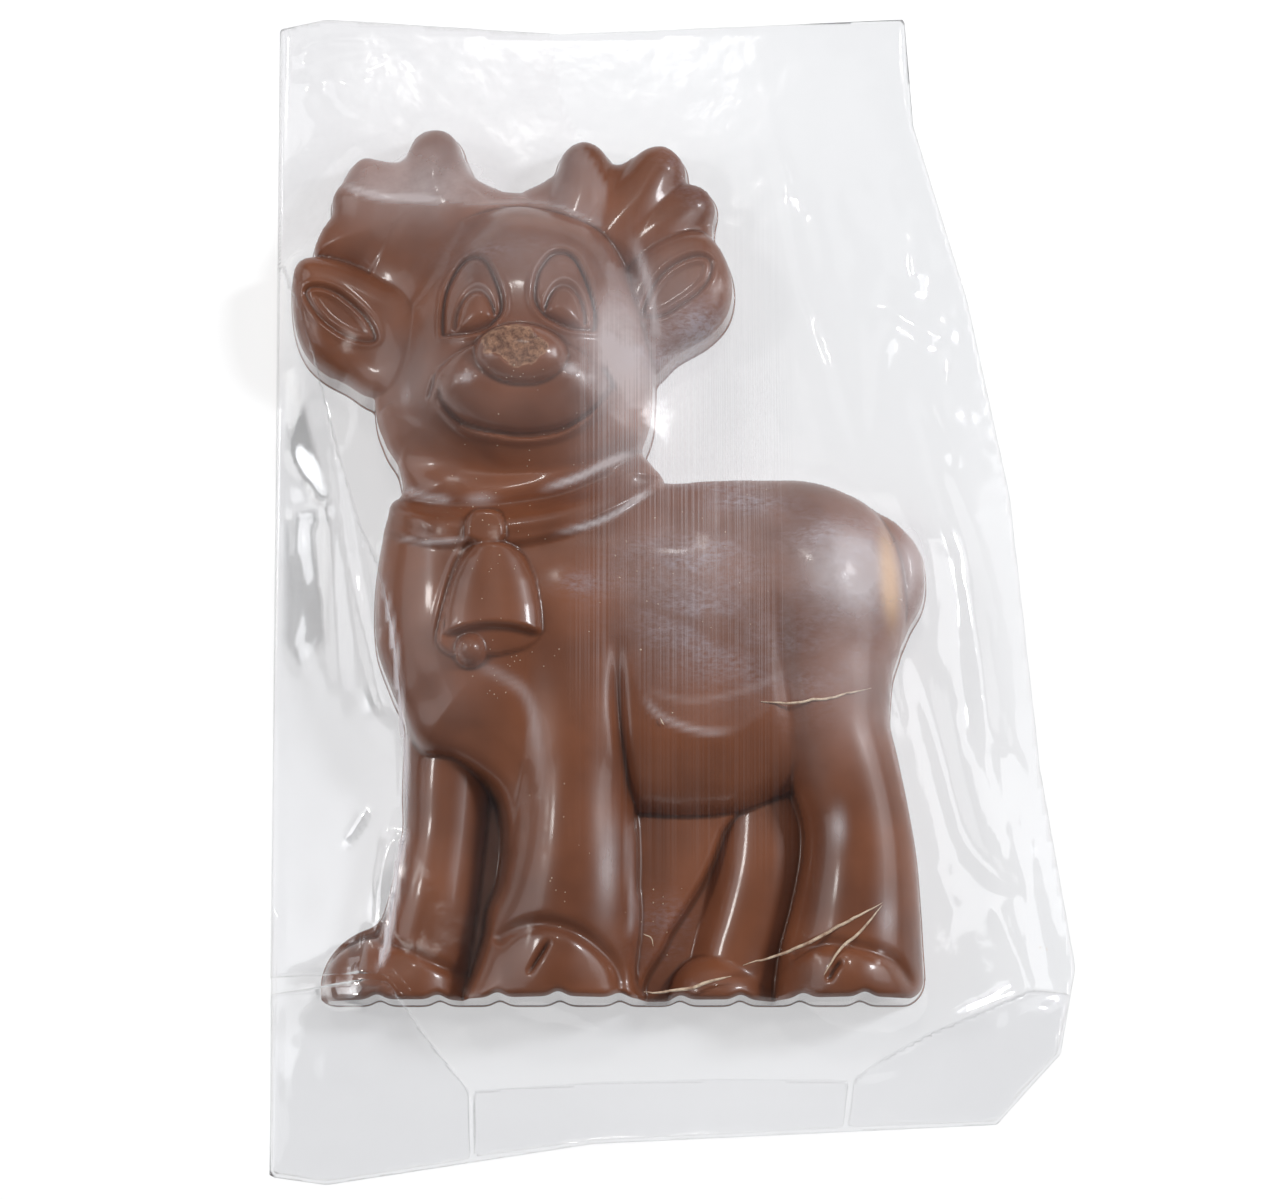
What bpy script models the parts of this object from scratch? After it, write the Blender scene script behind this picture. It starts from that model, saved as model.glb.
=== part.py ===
"""A milk-chocolate reindeer in its clear cellophane bag, lying on its flat back with the shown side up.

The reindeer is a flat-backed moulded figure. Its front is a relief: one height above the table for each
point (x, y) of the plan, so it leaves the mould without an undercut. The relief is worked out from named
forms (slabs with rounded edges, rounded limbs, bumps and grooves), which are blended into each other.
The bag is one solid of its own: a thin floor under the figure and the loose film that slopes from the
figure's edge down to the bag's flat rim. The film that lies on the front of the figure is thinner than
a solid can be and is left out here, so the front stays open.

Plan and heights are in millimetres in the tables and functions, and become metres in the meshes.
X runs to the right of the figure, Y from its hooves to its antlers, and Z up from the table.
"""

import bmesh
import bpy
import numpy as np

MM = 0.001

# The whole figure and its place in the bag
FIGURE_Y = -2.0  # shifts the figure so that the bag is centred on the origin
BASE_LINE = -75.6  # the straight edge that the hooves stand on
BASE_CORNER = 4.3  # radius of the corner behind the near rear hoof
BASE_CORNER_X = 42.0  # where that corner starts
NOTCH_AT = -20.6  # x of one of the shallow channels across the base
NOTCH_PITCH = 11.1  # from one channel to the next
NOTCH_DEPTH = 0.9
NOTCH_WIDTH = 1.6
RIM_ROUNDING = 1.2  # how far the edge of the front is rounded off
DRAFT = 0.5  # how far the wall spreads on its way down to the flat back

# Heights of the front above the flat back
TRUNK_RIM, TRUNK_CROWN = 9.0, 21.0
HEAD_RIM, HEAD_CROWN = 12.0, 26.0
NECK_RIM, NECK_CROWN = 10.0, 18.5
EAR_RIM, EAR_CROWN = 8.5, 14.0
ANTLER_RIM, ANTLER_CROWN = 7.0, 11.0
TAIL_RIM, TAIL_CROWN = 7.0, 12.0
WEB_HEIGHT = 5.0  # the thin wall that fills the gaps between the legs
PLATE_HEIGHT = 10.0  # the raised part of that wall behind the near front leg
NOSE_TOP = 35.0
BELL_RIM, BELL_CROWN = 23.0, 28.2
FRONT_LEG_RIM, FRONT_LEG_CROWN = 9.0, 17.0
MUZZLE_STEP = 1.8  # how far the muzzle stands above the cheeks
EYE_FIELD = 0.7  # how far each eye is sunk
PUPIL_RISE = 1.0
EAR_FIELD, EAR_GROOVE = 0.6, 0.8  # how far the inside of an ear and the line around it are sunk
COLLAR_STEP = 0.9  # how far the collar stands above the chest
STEEP = 5.0  # rise of an inner wall for each millimetre across
CRISP = 0.5  # blend between two forms that keep a clear corner

# The bag
FILM_FLOOR = 0.5  # floor of the bag under the figure
GAP = 0.3  # clearance between the figure and the bag
RIM_THICKNESS = 1.0  # both film layers and the air between them at the bag's edge
FILM_CLEARANCE = 0.3  # between the film and the chocolate that it lies on
SAG = 0.002  # how much the film sinks, for each pass and square millimetre of the grid

# Meshes
FIGURE_BOX = (-75.0, -79.0, 51.0, 92.0)  # lowest x and y, highest x and y of the grid over the figure
BAG_BOX = (-78.0, -115.0, 78.0, 115.0)
FIGURE_GRID = 0.9
FIGURE_SHARE = 0.26  # share of the fine mesh's triangles that is kept
BAG_GRID = 1.6
BAG_SHARE = 0.14

CHOCOLATE = (0.165, 0.078, 0.050, 1.0)
FILM = (0.80, 0.81, 0.83, 1.0)

# Outlines in the plan, each a closed smooth curve through its points
TRUNK = [(-50.0, 18.0), (-53.0, 13.0), (-54.5, 5.0), (-55.0, -2.5), (-54.5, -10.0), (-51.5, -18.5),
         (-49.0, -23.5), (-47.5, -28.0), (-45.5, -30.8), (-42.5, -31.0), (-39.0, -31.5), (-35.5, -34.0),
         (-32.0, -37.5), (-28.0, -42.0), (-18.0, -43.0), (-8.0, -41.5), (3.5, -42.0), (12.5, -41.0),
         (22.0, -37.5), (33.0, -34.0), (39.0, -27.0), (39.8, -21.0), (40.3, -16.5), (42.4, -11.0),
         (43.5, -3.5), (42.8, 4.5), (40.5, 11.0), (36.5, 16.0), (30.5, 19.3), (24.5, 20.8), (19.0, 21.0),
         (8.0, 21.0), (-1.0, 20.5), (-12.0, 22.0), (-32.0, 22.0)]
FRONT_LEG = [(-54.0, -8.0), (-51.5, -18.5), (-49.0, -23.5), (-47.0, -28.0), (-44.5, -30.5),
             (-40.0, -31.5), (-35.8, -34.0), (-32.3, -37.0), (-30.6, -40.5), (-30.0, -46.5),
             (-30.8, -54.0), (-32.8, -59.5), (-33.3, -64.0), (-35.2, -70.0), (-37.5, -76.5),
             (-37.5, -84.0), (-8.0, -84.0), (-7.0, -70.0), (-6.2, -63.0), (-6.2, -57.5), (-7.2, -52.0),
             (-7.6, -44.0), (-8.4, -36.0), (-9.5, -25.0), (-10.0, -10.0), (-20.0, 0.0), (-45.0, 2.0)]
TAIL = [(33.0, 17.0), (39.5, 15.0), (43.2, 12.5), (46.3, 8.5), (47.3, 3.5), (46.8, -1.5), (44.8, -5.5),
        (41.5, -10.0), (36.0, -4.0)]
WEB = [(-44.0, -30.0), (-30.0, -34.0), (0.0, -36.0), (30.0, -34.0), (36.0, -50.0), (34.0, -82.0),
       (-10.0, -84.0), (-44.0, -82.0), (-46.0, -50.0)]
PLATE = [(-14.0, -34.0), (11.0, -38.0), (9.0, -45.0), (6.2, -52.0), (3.0, -57.5), (-0.3, -62.5),
         (-2.0, -66.0), (-5.5, -72.0), (-7.0, -80.0), (-16.0, -80.0), (-16.0, -50.0)]
NECK = [(-50.0, 35.0), (-53.0, 28.5), (-51.0, 24.0), (-50.0, 20.0), (-49.5, 15.5), (-44.0, 11.0),
        (-30.0, 9.0), (-14.0, 12.0), (-2.0, 19.5), (-3.5, 23.5), (-6.0, 27.0), (-10.0, 35.0)]
HEAD = [(-46.5, 61.5), (-44.0, 66.0), (-37.5, 70.5), (-29.5, 72.5), (-22.0, 71.5), (-14.5, 68.5),
        (-10.0, 63.5), (-7.5, 57.0), (-5.0, 48.5), (-3.5, 41.5), (-3.5, 36.0), (-4.0, 30.5), (-6.5, 25.5),
        (-14.0, 21.0), (-27.0, 19.0), (-40.0, 19.5), (-48.5, 22.5), (-53.0, 27.5), (-55.0, 33.0),
        (-55.0, 39.5), (-53.0, 47.0), (-50.0, 54.5)]
LEFT_ANTLER = [(-51.0, 52.0), (-60.0, 60.5), (-67.0, 64.5), (-66.3, 69.0), (-64.2, 72.5), (-63.8, 76.5),
               (-61.3, 79.7), (-58.5, 83.3), (-55.0, 83.2), (-51.3, 83.0), (-48.3, 86.0), (-44.8, 88.5),
               (-41.2, 87.5), (-39.0, 83.0), (-36.8, 79.8), (-32.0, 77.3), (-26.5, 75.5), (-26.0, 66.0),
               (-37.0, 58.0)]
RIGHT_ANTLER = [(-32.0, 67.0), (-29.5, 76.0), (-24.5, 79.2), (-20.8, 82.0), (-18.7, 85.4), (-16.3, 87.0),
                (-13.5, 85.0), (-10.2, 82.8), (-7.2, 84.2), (-4.2, 85.3), (-1.2, 86.0), (0.7, 83.7),
                (1.5, 80.5), (4.2, 78.5), (6.3, 75.3), (7.8, 70.0), (6.0, 63.0), (-5.0, 57.0),
                (-14.0, 60.0)]
LEFT_EAR = [(-49.0, 55.0), (-54.5, 59.5), (-61.0, 62.7), (-67.5, 64.0), (-70.8, 62.0), (-71.3, 56.5),
            (-70.5, 50.0), (-68.5, 45.2), (-65.3, 42.0), (-61.0, 39.6), (-55.0, 36.5), (-48.0, 41.0)]
RIGHT_EAR = [(-13.0, 52.0), (-9.0, 61.0), (-3.5, 66.3), (3.0, 68.8), (7.5, 67.8), (10.5, 63.5),
             (11.6, 58.0), (10.4, 52.8), (6.8, 48.8), (1.0, 45.3), (-4.0, 41.0), (-11.0, 42.0)]
LEFT_EAR_HOLLOW = [(-68.3, 56.0), (-66.3, 57.2), (-62.5, 56.0), (-58.7, 53.0), (-56.2, 50.0),
                   (-55.2, 47.0), (-58.0, 46.8), (-62.0, 48.5), (-65.8, 51.7)]
RIGHT_EAR_HOLLOW = [(-5.3, 51.7), (-3.5, 57.0), (0.0, 61.0), (4.5, 63.0), (7.3, 62.3), (7.3, 59.3),
                    (5.3, 56.3), (1.5, 53.4), (-2.0, 51.5)]
LEFT_EYE = [(-42.5, 45.2), (-42.6, 51.5), (-40.6, 57.3), (-36.5, 60.3), (-32.7, 57.8), (-31.0, 53.3),
            (-31.1, 50.1), (-33.5, 47.8), (-38.0, 45.4)]
RIGHT_EYE = [(-20.5, 61.3), (-24.0, 58.6), (-25.6, 55.4), (-25.6, 52.3), (-24.3, 49.5), (-21.5, 47.4),
             (-17.5, 46.0), (-14.2, 46.3), (-14.4, 50.5), (-15.5, 55.5), (-17.5, 59.7)]
LEFT_PUPIL = [(-39.3, 44.0), (-39.4, 49.0), (-38.0, 52.4), (-36.0, 53.6), (-33.9, 52.3), (-33.0, 49.0),
              (-33.4, 44.0)]
RIGHT_PUPIL = [(-22.6, 45.0), (-23.1, 51.0), (-22.2, 53.4), (-20.3, 54.2), (-17.9, 52.7), (-16.6, 49.5),
               (-16.0, 45.0)]
MUZZLE = [(-43.5, 35.5), (-42.6, 33.2), (-40.3, 30.3), (-36.5, 27.8), (-31.0, 26.4), (-25.0, 26.4),
          (-19.0, 27.8), (-14.2, 30.8), (-11.5, 34.5), (-12.5, 38.0), (-19.0, 43.0), (-27.5, 45.5),
          (-36.5, 43.0), (-43.0, 38.5)]
BELL = [(-36.8, 6.2), (-39.6, 3.2), (-41.6, -1.5), (-42.7, -6.5), (-42.5, -10.0), (-39.5, -12.0),
        (-33.5, -12.8), (-28.0, -11.8), (-24.2, -9.8), (-23.6, -6.5), (-24.2, -1.0), (-25.8, 3.6),
        (-28.6, 6.2), (-32.5, 6.9)]
KNOT = [(-37.6, 12.4), (-38.2, 9.8), (-37.2, 7.2), (-31.0, 7.0), (-29.8, 9.6), (-30.4, 12.2),
        (-34.0, 12.8)]

# Lines in the plan, each an open smooth curve
SMILE = [(-43.0, 34.5), (-40.5, 30.5), (-36.5, 27.6), (-30.8, 26.3), (-25.0, 26.3), (-19.0, 27.8),
         (-14.0, 31.0), (-11.2, 35.2)]
LEFT_DIMPLE = [(-43.3, 38.5), (-44.6, 35.8), (-45.3, 33.0)]
RIGHT_DIMPLE = [(-12.6, 40.3), (-11.6, 37.2), (-10.0, 34.6)]
COLLAR_TOP = [(-52.0, 17.5), (-48.0, 15.6), (-41.5, 14.5), (-35.0, 14.2), (-29.0, 14.6), (-20.5, 16.3),
              (-14.0, 19.2), (-8.5, 22.8), (-2.0, 28.0)]
COLLAR_LOW = [(-54.0, 10.5), (-49.5, 8.8), (-45.0, 7.2), (-39.5, 6.5), (-29.5, 6.7), (-22.0, 8.0),
              (-16.5, 10.0), (-9.0, 14.0), (-2.0, 18.7)]
NEAR_FRONT_HOOF = [(-32.5, -66.0), (-30.3, -64.2), (-26.5, -62.8), (-22.0, -62.6), (-17.0, -64.2),
                   (-12.8, -67.2), (-10.0, -70.8), (-9.2, -76.0)]
NEAR_REAR_HOOF = [(21.5, -68.0), (24.5, -66.8), (29.0, -66.0), (35.0, -67.0), (40.5, -69.2),
                  (44.3, -74.0)]
FAR_FRONT_HOOF = [(-54.0, -64.2), (-48.0, -66.8), (-42.0, -69.5), (-36.0, -71.5)]
NEAR_FRONT_CLEFT = [(-22.0, -65.5), (-24.0, -68.5), (-26.0, -71.8)]
NEAR_REAR_CLEFT = [(30.8, -69.0), (29.3, -70.8), (28.2, -73.0)]
SHOULDER_CREASE = [(-10.0, -10.0), (-9.6, -24.0), (-8.2, -36.5), (-7.0, -44.0)]
THIGH_CREASE = [(19.0, -2.0), (20.5, -15.0), (21.8, -24.5), (22.5, -36.0)]

# Soft swellings: centre, radii, height
TRUNK_SWELLINGS = [
    ((27.0, 0.0), (15.0, 17.0), 4.5),
    ((2.0, -12.0), (18.0, 18.0), 1.5),
    ((-30.0, -2.0), (20.0, 18.0), 2.0),
]
MUZZLE_SWELLINGS = [
    ((-27.5, 33.5), (12.5, 6.5), 2.0),
    ((-37.0, 36.0), (4.5, 4.5), 1.6),
    ((-17.8, 37.0), (4.5, 4.5), 1.6),
]
FOREHEAD = (-28.5, 50.0)
NOSE, NOSE_RADII = (-27.5, 40.6), (8.4, 5.7)
CLAPPER = (-36.6, -12.0)
BELL_MIDDLE = -33.0  # x of the bell's axis
BELL_MOUTH = -7.8  # y of the front of its mouth
# The bell's half width at some heights y
BELL_PROFILE = [(-16.0, 10.2), (-10.0, 10.0), (-5.0, 9.4), (0.0, 8.4), (4.0, 6.6), (7.0, 4.2)]

# Limbs as chains of balls: x, y, height of the centre, radius
FAR_FRONT_LIMB = [(-40.5, -24.0, 4.0, 8.5), (-41.5, -36.0, 4.5, 8.0), (-42.0, -45.0, 5.0, 7.5),
                  (-43.8, -57.0, 5.0, 8.0), (-46.0, -68.0, 3.0, 9.0), (-47.0, -80.0, 2.0, 10.0)]
FAR_REAR_LIMB = [(17.5, -36.0, 3.0, 7.5), (16.5, -50.0, 3.5, 7.5), (14.0, -60.0, 3.5, 7.0),
                 (11.5, -68.0, 3.0, 7.0), (10.0, -80.0, 2.0, 8.0)]
NEAR_REAR_LIMB = [(29.0, -5.0, 9.0, 13.5), (29.0, -16.0, 12.0, 12.0), (29.2, -25.0, 12.0, 11.0),
                  (32.0, -34.0, 11.0, 10.2), (34.0, -42.0, 10.5, 9.8), (34.6, -50.0, 9.5, 10.5),
                  (34.0, -60.0, 8.0, 11.9), (33.0, -70.0, 6.0, 13.4), (32.5, -84.0, 5.0, 14.0)]
NEAR_FRONT_LIMB = [(-20.0, -4.0, 9.0, 13.0), (-17.5, -24.0, 12.5, 11.0), (-17.6, -38.0, 12.5, 10.6),
                   (-18.0, -50.0, 11.5, 11.6), (-19.2, -60.0, 9.5, 12.8), (-20.0, -70.0, 7.0, 13.6),
                   (-20.5, -84.0, 6.0, 14.0)]
LEFT_TINES = [
    [(-44.8, 84.0, 8.0, 4.0), (-43.5, 76.0, 7.5, 6.0), (-44.0, 64.0, 6.5, 9.0)],
    [(-58.0, 79.5, 7.5, 3.8), (-53.0, 72.0, 7.0, 5.5), (-48.0, 62.0, 6.5, 8.0)],
    [(-61.0, 72.5, 7.5, 3.5), (-56.0, 66.0, 7.0, 5.0), (-50.0, 58.0, 7.0, 7.0)],
]
RIGHT_TINES = [
    [(-16.5, 83.0, 8.0, 3.8), (-18.0, 76.0, 8.0, 4.6), (-21.0, 67.0, 7.5, 6.5)],
    [(-2.0, 82.3, 8.0, 3.8), (-7.5, 75.5, 8.0, 4.6), (-14.0, 66.0, 7.5, 6.5)],
    [(3.3, 75.5, 8.0, 3.8), (-1.0, 70.5, 8.0, 4.6), (-9.0, 63.0, 7.5, 6.5)],
]

# The flat rim of the bag: mouth at the top, sealed tail at the bottom
BAG = [(-75.0, 109.0), (-66.0, 111.0), (-21.0, 108.0), (45.0, 111.0), (46.5, 90.0), (56.5, 55.5),
       (64.0, 18.0), (69.0, -34.0), (75.0, -71.0), (72.0, -87.0), (60.0, -100.0), (-14.5, -103.5),
       (-63.5, -111.0), (-74.0, -109.5)]


def soft_max(a, b, blend):
    """The higher of two surfaces, with their corner filled where they differ by less than blend."""
    return np.maximum(a, b) + np.clip(blend - np.abs(a - b), 0.0, None) ** 2 / (4.0 * blend)


def curve(points, closed=False, steps=6):
    """A smooth curve through the points (Catmull-Rom), with that many steps between each two."""
    p = np.array(points, float)
    if closed:
        q = np.concatenate([p[-1:], p, p[:2]])
    else:
        q = np.concatenate([2 * p[:1] - p[1:2], p, 2 * p[-1:] - p[-2:-1]])
    t = (np.arange(steps) / steps)[None, :, None]
    a, b, c, d = [q[k : len(q) - 3 + k, None, :] for k in range(4)]
    bend = 2 * b + (c - a) * t + (2 * a - 5 * b + 4 * c - d) * t**2 + (3 * b - a - 3 * c + d) * t**3
    line = 0.5 * bend.reshape(-1, p.shape[1])
    return line if closed else np.concatenate([line, p[-1:]])


def line_distance(x, y, line):
    """How far each point of the plan is from a line, and how far along it that is, from 0 to 1."""
    nearest = np.full(x.shape, np.inf)
    along = np.zeros(x.shape)
    count = len(line) - 1
    for i in range(count):
        ax, ay = line[i][:2]
        dx, dy = line[i + 1][0] - ax, line[i + 1][1] - ay
        t = np.clip(((x - ax) * dx + (y - ay) * dy) / max(dx * dx + dy * dy, 1e-9), 0.0, 1.0)
        square = (x - ax - t * dx) ** 2 + (y - ay - t * dy) ** 2
        closer = square < nearest
        nearest = np.where(closer, square, nearest)
        along = np.where(closer, (i + t) / count, along)
    return np.sqrt(nearest), along


def depth_inside(x, y, loop):
    """How deep each point of the plan lies inside a closed outline; outside it is negative."""
    ring = np.concatenate([loop, loop[:1]])
    distance, _ = line_distance(x, y, ring)
    odd = np.zeros(x.shape, bool)
    for (ax, ay), (bx, by) in zip(ring[:-1], ring[1:]):
        if ay != by:
            odd ^= ((ay > y) != (by > y)) & (x < (bx - ax) * (y - ay) / (by - ay) + ax)
    return np.where(odd, distance, -distance)


def quarter_round(t):
    """Rises from 0 to 1 like the quarter of a circle as t goes from 0 to 1."""
    return np.sqrt(1.0 - (1.0 - np.clip(t, 0.0, 1.0)) ** 2)


def hill(distance, width):
    """A bell-shaped hill: 1 at distance 0, and nearly 0 from twice the width on."""
    return np.exp(-((distance / width) ** 2))


class Relief:
    """The figure's front over the points x, y: its height, top, and the depth in its outline, edge."""

    def __init__(self, x, y):
        self.x, self.y = x, y
        self.top = np.full(x.shape, -99.0)
        self.edge = np.full(x.shape, -99.0)

    def add(self, top, edge, blend):
        self.top = soft_max(self.top, top, blend)
        self.edge = soft_max(self.edge, edge, 1.0)

    def slab(self, outline, rim, crown, rounding, blend, widens=True):
        """A raised shape: a steep wall up to rim at its outline, then a quarter round up to crown."""
        s = depth_inside(self.x, self.y, curve(outline, closed=True))
        top = np.where(s < 0, rim + STEEP * s, rim + (crown - rim) * quarter_round(s / rounding))
        if widens:
            self.add(top, s, blend)
        else:
            self.top = soft_max(self.top, top, blend)

    def limb(self, balls, blend):
        """A rounded limb: the upper side of balls whose place, height and radius change along a curve."""
        line = curve(balls, steps=10)
        distance, along = line_distance(self.x, self.y, line)
        steps = np.linspace(0.0, 1.0, len(line))
        height = np.interp(along, steps, line[:, 2])
        radius = np.interp(along, steps, line[:, 3])
        ball = height + np.sqrt(np.clip(radius**2 - distance**2, 0.0, None))
        wall = height - STEEP * (distance - radius)
        self.add(np.where(distance > radius, wall, ball), radius - distance, blend)

    def ellipse(self, at, radii, turn=0.0):
        """Distance from a centre, counted as 1 on an ellipse with these radii, turned by degrees."""
        a = np.radians(turn)
        u = (self.x - at[0]) * np.cos(a) + (self.y - at[1]) * np.sin(a)
        v = (self.y - at[1]) * np.cos(a) - (self.x - at[0]) * np.sin(a)
        return np.sqrt((u / radii[0]) ** 2 + (v / radii[1]) ** 2)

    def dome(self, at, radii, base, crown, blend, turn=0.0):
        """Half of an egg standing on the height base, with a steep wall around it."""
        q = self.ellipse(at, radii, turn)
        egg = base + (crown - base) * np.sqrt(np.clip(1.0 - q * q, 0.0, 1.0))
        wall = base - STEEP * (q - 1.0) * min(radii)
        self.top = soft_max(self.top, np.where(q > 1.0, wall, egg), blend)

    def bump(self, at, radii, height, turn=0.0):
        """A soft swelling added to what is there."""
        self.top = self.top + height * hill(self.ellipse(at, radii, turn), 1.0)

    def groove(self, points, depth, width, fade):
        """A rounded groove along a line, fading out over that share of it at each end.

        A negative depth makes a ridge.
        """
        distance, along = line_distance(self.x, self.y, curve(points))
        ends = np.sin(0.5 * np.pi * np.clip(np.minimum(along, 1.0 - along) / fade, 0.0, 1.0))
        self.top = self.top - depth * ends * hill(distance, width)


def add_trunk(front):
    front.slab(TRUNK, TRUNK_RIM, TRUNK_CROWN, rounding=16.0, blend=CRISP)
    for at, radii, height in TRUNK_SWELLINGS:
        front.bump(at, radii, height)
    front.slab(TAIL, TAIL_RIM, TAIL_CROWN, rounding=4.0, blend=CRISP)


def add_legs(front):
    front.slab(WEB, WEB_HEIGHT - 0.5, WEB_HEIGHT, rounding=2.0, blend=1.0)
    front.slab(PLATE, PLATE_HEIGHT - 1.5, PLATE_HEIGHT, rounding=2.5, blend=1.0)
    front.limb(FAR_FRONT_LIMB, blend=2.5)
    front.limb(FAR_REAR_LIMB, blend=2.5)
    front.limb(NEAR_REAR_LIMB, blend=3.0)
    front.slab(FRONT_LEG, FRONT_LEG_RIM, FRONT_LEG_CROWN, rounding=9.0, blend=2.5)
    front.limb(NEAR_FRONT_LIMB, blend=3.0)


def add_hooves(front):
    """A crease over each hoof, a cleft in the near ones, and a dome for each far one."""
    front.bump((-22.5, -70.5), (9.0, 6.5), 1.6, turn=-6)
    front.bump((32.5, -72.0), (9.0, 5.0), 1.5, turn=-6)
    front.dome((-50.5, -73.5), (13.5, 9.5), base=4.0, crown=12.5, turn=-12, blend=1.5)
    toe_size = 9.5
    toe = toe_size * (1.0 - front.ellipse((-51.5, -73.0), (12.5, 11.0)))
    front.edge = soft_max(front.edge, toe, 2.0)
    front.dome((8.5, -75.0), (9.0, 8.0), base=5.0, crown=12.0, turn=-14, blend=1.0)
    for crease, depth in ((NEAR_FRONT_HOOF, 1.3), (NEAR_REAR_HOOF, 1.2), (FAR_FRONT_HOOF, 1.0)):
        front.groove(crease, depth, width=depth, fade=0.1)
    for cleft in (NEAR_FRONT_CLEFT, NEAR_REAR_CLEFT):
        front.groove(cleft, depth=1.5, width=0.75, fade=0.3)


def add_neck(front):
    front.slab(NECK, NECK_RIM, NECK_CROWN, rounding=13.0, blend=3.0)


def add_antlers(front):
    front.slab(LEFT_ANTLER, ANTLER_RIM, ANTLER_CROWN, rounding=5.0, blend=1.0)
    front.slab(RIGHT_ANTLER, ANTLER_RIM, ANTLER_CROWN - 0.5, rounding=4.0, blend=1.0)
    for tine in LEFT_TINES:
        front.limb(tine, blend=3.0)
    for tine in RIGHT_TINES:
        front.limb(tine, blend=1.2)


def add_ears(front):
    for ear in (LEFT_EAR, RIGHT_EAR):
        front.slab(ear, EAR_RIM, EAR_CROWN, rounding=5.0, blend=0.8)


def cut_ear_hollows(front):
    """Each ear's inside is a shallow field with a groove along its border."""
    for hollow in (LEFT_EAR_HOLLOW, RIGHT_EAR_HOLLOW):
        s = depth_inside(front.x, front.y, curve(hollow, closed=True))
        groove = EAR_GROOVE * hill(s, 0.55)
        field = EAR_FIELD * np.clip(s / 1.5, 0.0, 1.0)
        front.top = front.top - groove - field


def add_head(front):
    front.slab(HEAD, HEAD_RIM, HEAD_CROWN, rounding=18.0, blend=1.5)
    front.bump(FOREHEAD, (18.0, 16.0), 2.0)


def add_muzzle(front):
    """One rounded form under the nose, bounded below by the smile, with the nose as a dome on it."""
    s = depth_inside(front.x, front.y, curve(MUZZLE, closed=True))
    front.top = front.top + MUZZLE_STEP * quarter_round(s / 4.0)
    for at, radii, height in MUZZLE_SWELLINGS:
        front.bump(at, radii, height)
    front.dome(NOSE, NOSE_RADII, base=NOSE_TOP - 5.0, crown=NOSE_TOP, turn=-4, blend=CRISP)
    front.groove(SMILE, depth=1.0, width=0.8, fade=0.06)
    for dimple in (LEFT_DIMPLE, RIGHT_DIMPLE):
        front.groove(dimple, depth=0.9, width=0.6, fade=0.15)


def add_eyes(front):
    """Each eye is a sunk field with a groove along its border, and the pupil stands up in it."""
    for eye, pupil in ((LEFT_EYE, LEFT_PUPIL), (RIGHT_EYE, RIGHT_PUPIL)):
        s = depth_inside(front.x, front.y, curve(eye, closed=True))
        field = EYE_FIELD * np.clip(s / 0.8, 0.0, 1.0)
        groove = 0.6 * hill(s - 0.45, 0.45)
        lip = 0.3 * hill(s + 0.6, 0.7)
        p = np.minimum(depth_inside(front.x, front.y, curve(pupil, closed=True)), s - 0.4)
        raised = PUPIL_RISE * quarter_round(p / 2.5) - 0.45 * hill(p, 0.4)
        front.top = front.top - field - groove + lip + raised


def add_collar(front):
    """A band between two lines, the neck's rolled end above it and a thin lip along its lower edge."""
    band = depth_inside(front.x, front.y, np.concatenate([curve(COLLAR_TOP), curve(COLLAR_LOW)[::-1]]))
    front.top = front.top + COLLAR_STEP * np.clip(band / 1.2 + 0.5, 0.0, 1.0)
    front.groove(COLLAR_TOP, depth=1.3, width=1.0, fade=0.02)
    front.groove([(px, py + 2.4) for px, py in COLLAR_TOP], depth=-0.7, width=1.6, fade=0.02)
    front.groove([(px, py + 0.9) for px, py in COLLAR_LOW], depth=-0.5, width=0.8, fade=0.02)


def add_bell(front):
    """A bell seen from the side: half round across, wider towards its mouth, with the clapper below."""
    s = depth_inside(front.x, front.y, curve(BELL, closed=True))
    levels, half_widths = zip(*BELL_PROFILE)
    across = 1.0 - ((front.x - BELL_MIDDLE) / np.interp(front.y, levels, half_widths)) ** 2
    dip = 1.4 * np.clip((BELL_MOUTH - front.y) / 1.2, 0.0, 1.0)
    crown = (BELL_CROWN - BELL_RIM) * np.sqrt(np.clip(across, 0.0, 1.0)) - dip
    top = np.where(s < 0, BELL_RIM + STEEP * s, BELL_RIM + crown * quarter_round(s / 1.2))
    front.top = soft_max(front.top, top, 0.3)
    front.slab(KNOT, BELL_RIM - 1.0, BELL_RIM + 3.5, rounding=2.2, blend=0.3, widens=False)
    front.dome(CLAPPER, (3.5, 3.5), base=BELL_RIM - 1.0, crown=BELL_RIM + 4.0, blend=0.3)


def add_creases(front):
    front.groove(SHOULDER_CREASE, depth=2.0, width=1.2, fade=0.35)
    front.groove(THIGH_CREASE, depth=1.6, width=2.0, fade=0.4)


def cut_base(front):
    """The straight base: the legs end in one line, with shallow notches along it and a round corner."""
    half = NOTCH_PITCH / 2
    step = (front.x - NOTCH_AT + half) % NOTCH_PITCH - half
    base = front.y - BASE_LINE - NOTCH_DEPTH * hill(step, NOTCH_WIDTH)
    corner_y = BASE_LINE + BASE_CORNER - 0.2
    in_corner = (front.x > BASE_CORNER_X) & (front.y < corner_y)
    round_off = BASE_CORNER - np.hypot(front.x - BASE_CORNER_X, front.y - corner_y)
    front.edge = np.minimum(front.edge, np.where(in_corner, np.minimum(base, round_off), base))


def round_rim(front):
    t = np.clip(front.edge / RIM_ROUNDING, 0.0, 1.0)
    front.top = front.top - RIM_ROUNDING * (1.0 - quarter_round(t))


def reindeer_front(x, y):
    """The finished front over the points x, y of the plan."""
    front = Relief(x, y)
    for shape in (add_trunk, add_legs, add_hooves, add_neck, add_antlers, add_ears, add_head, add_muzzle,
                  add_eyes, cut_ear_hollows, add_collar, add_bell, add_creases, cut_base, round_rim):
        shape(front)
    return front


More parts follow.
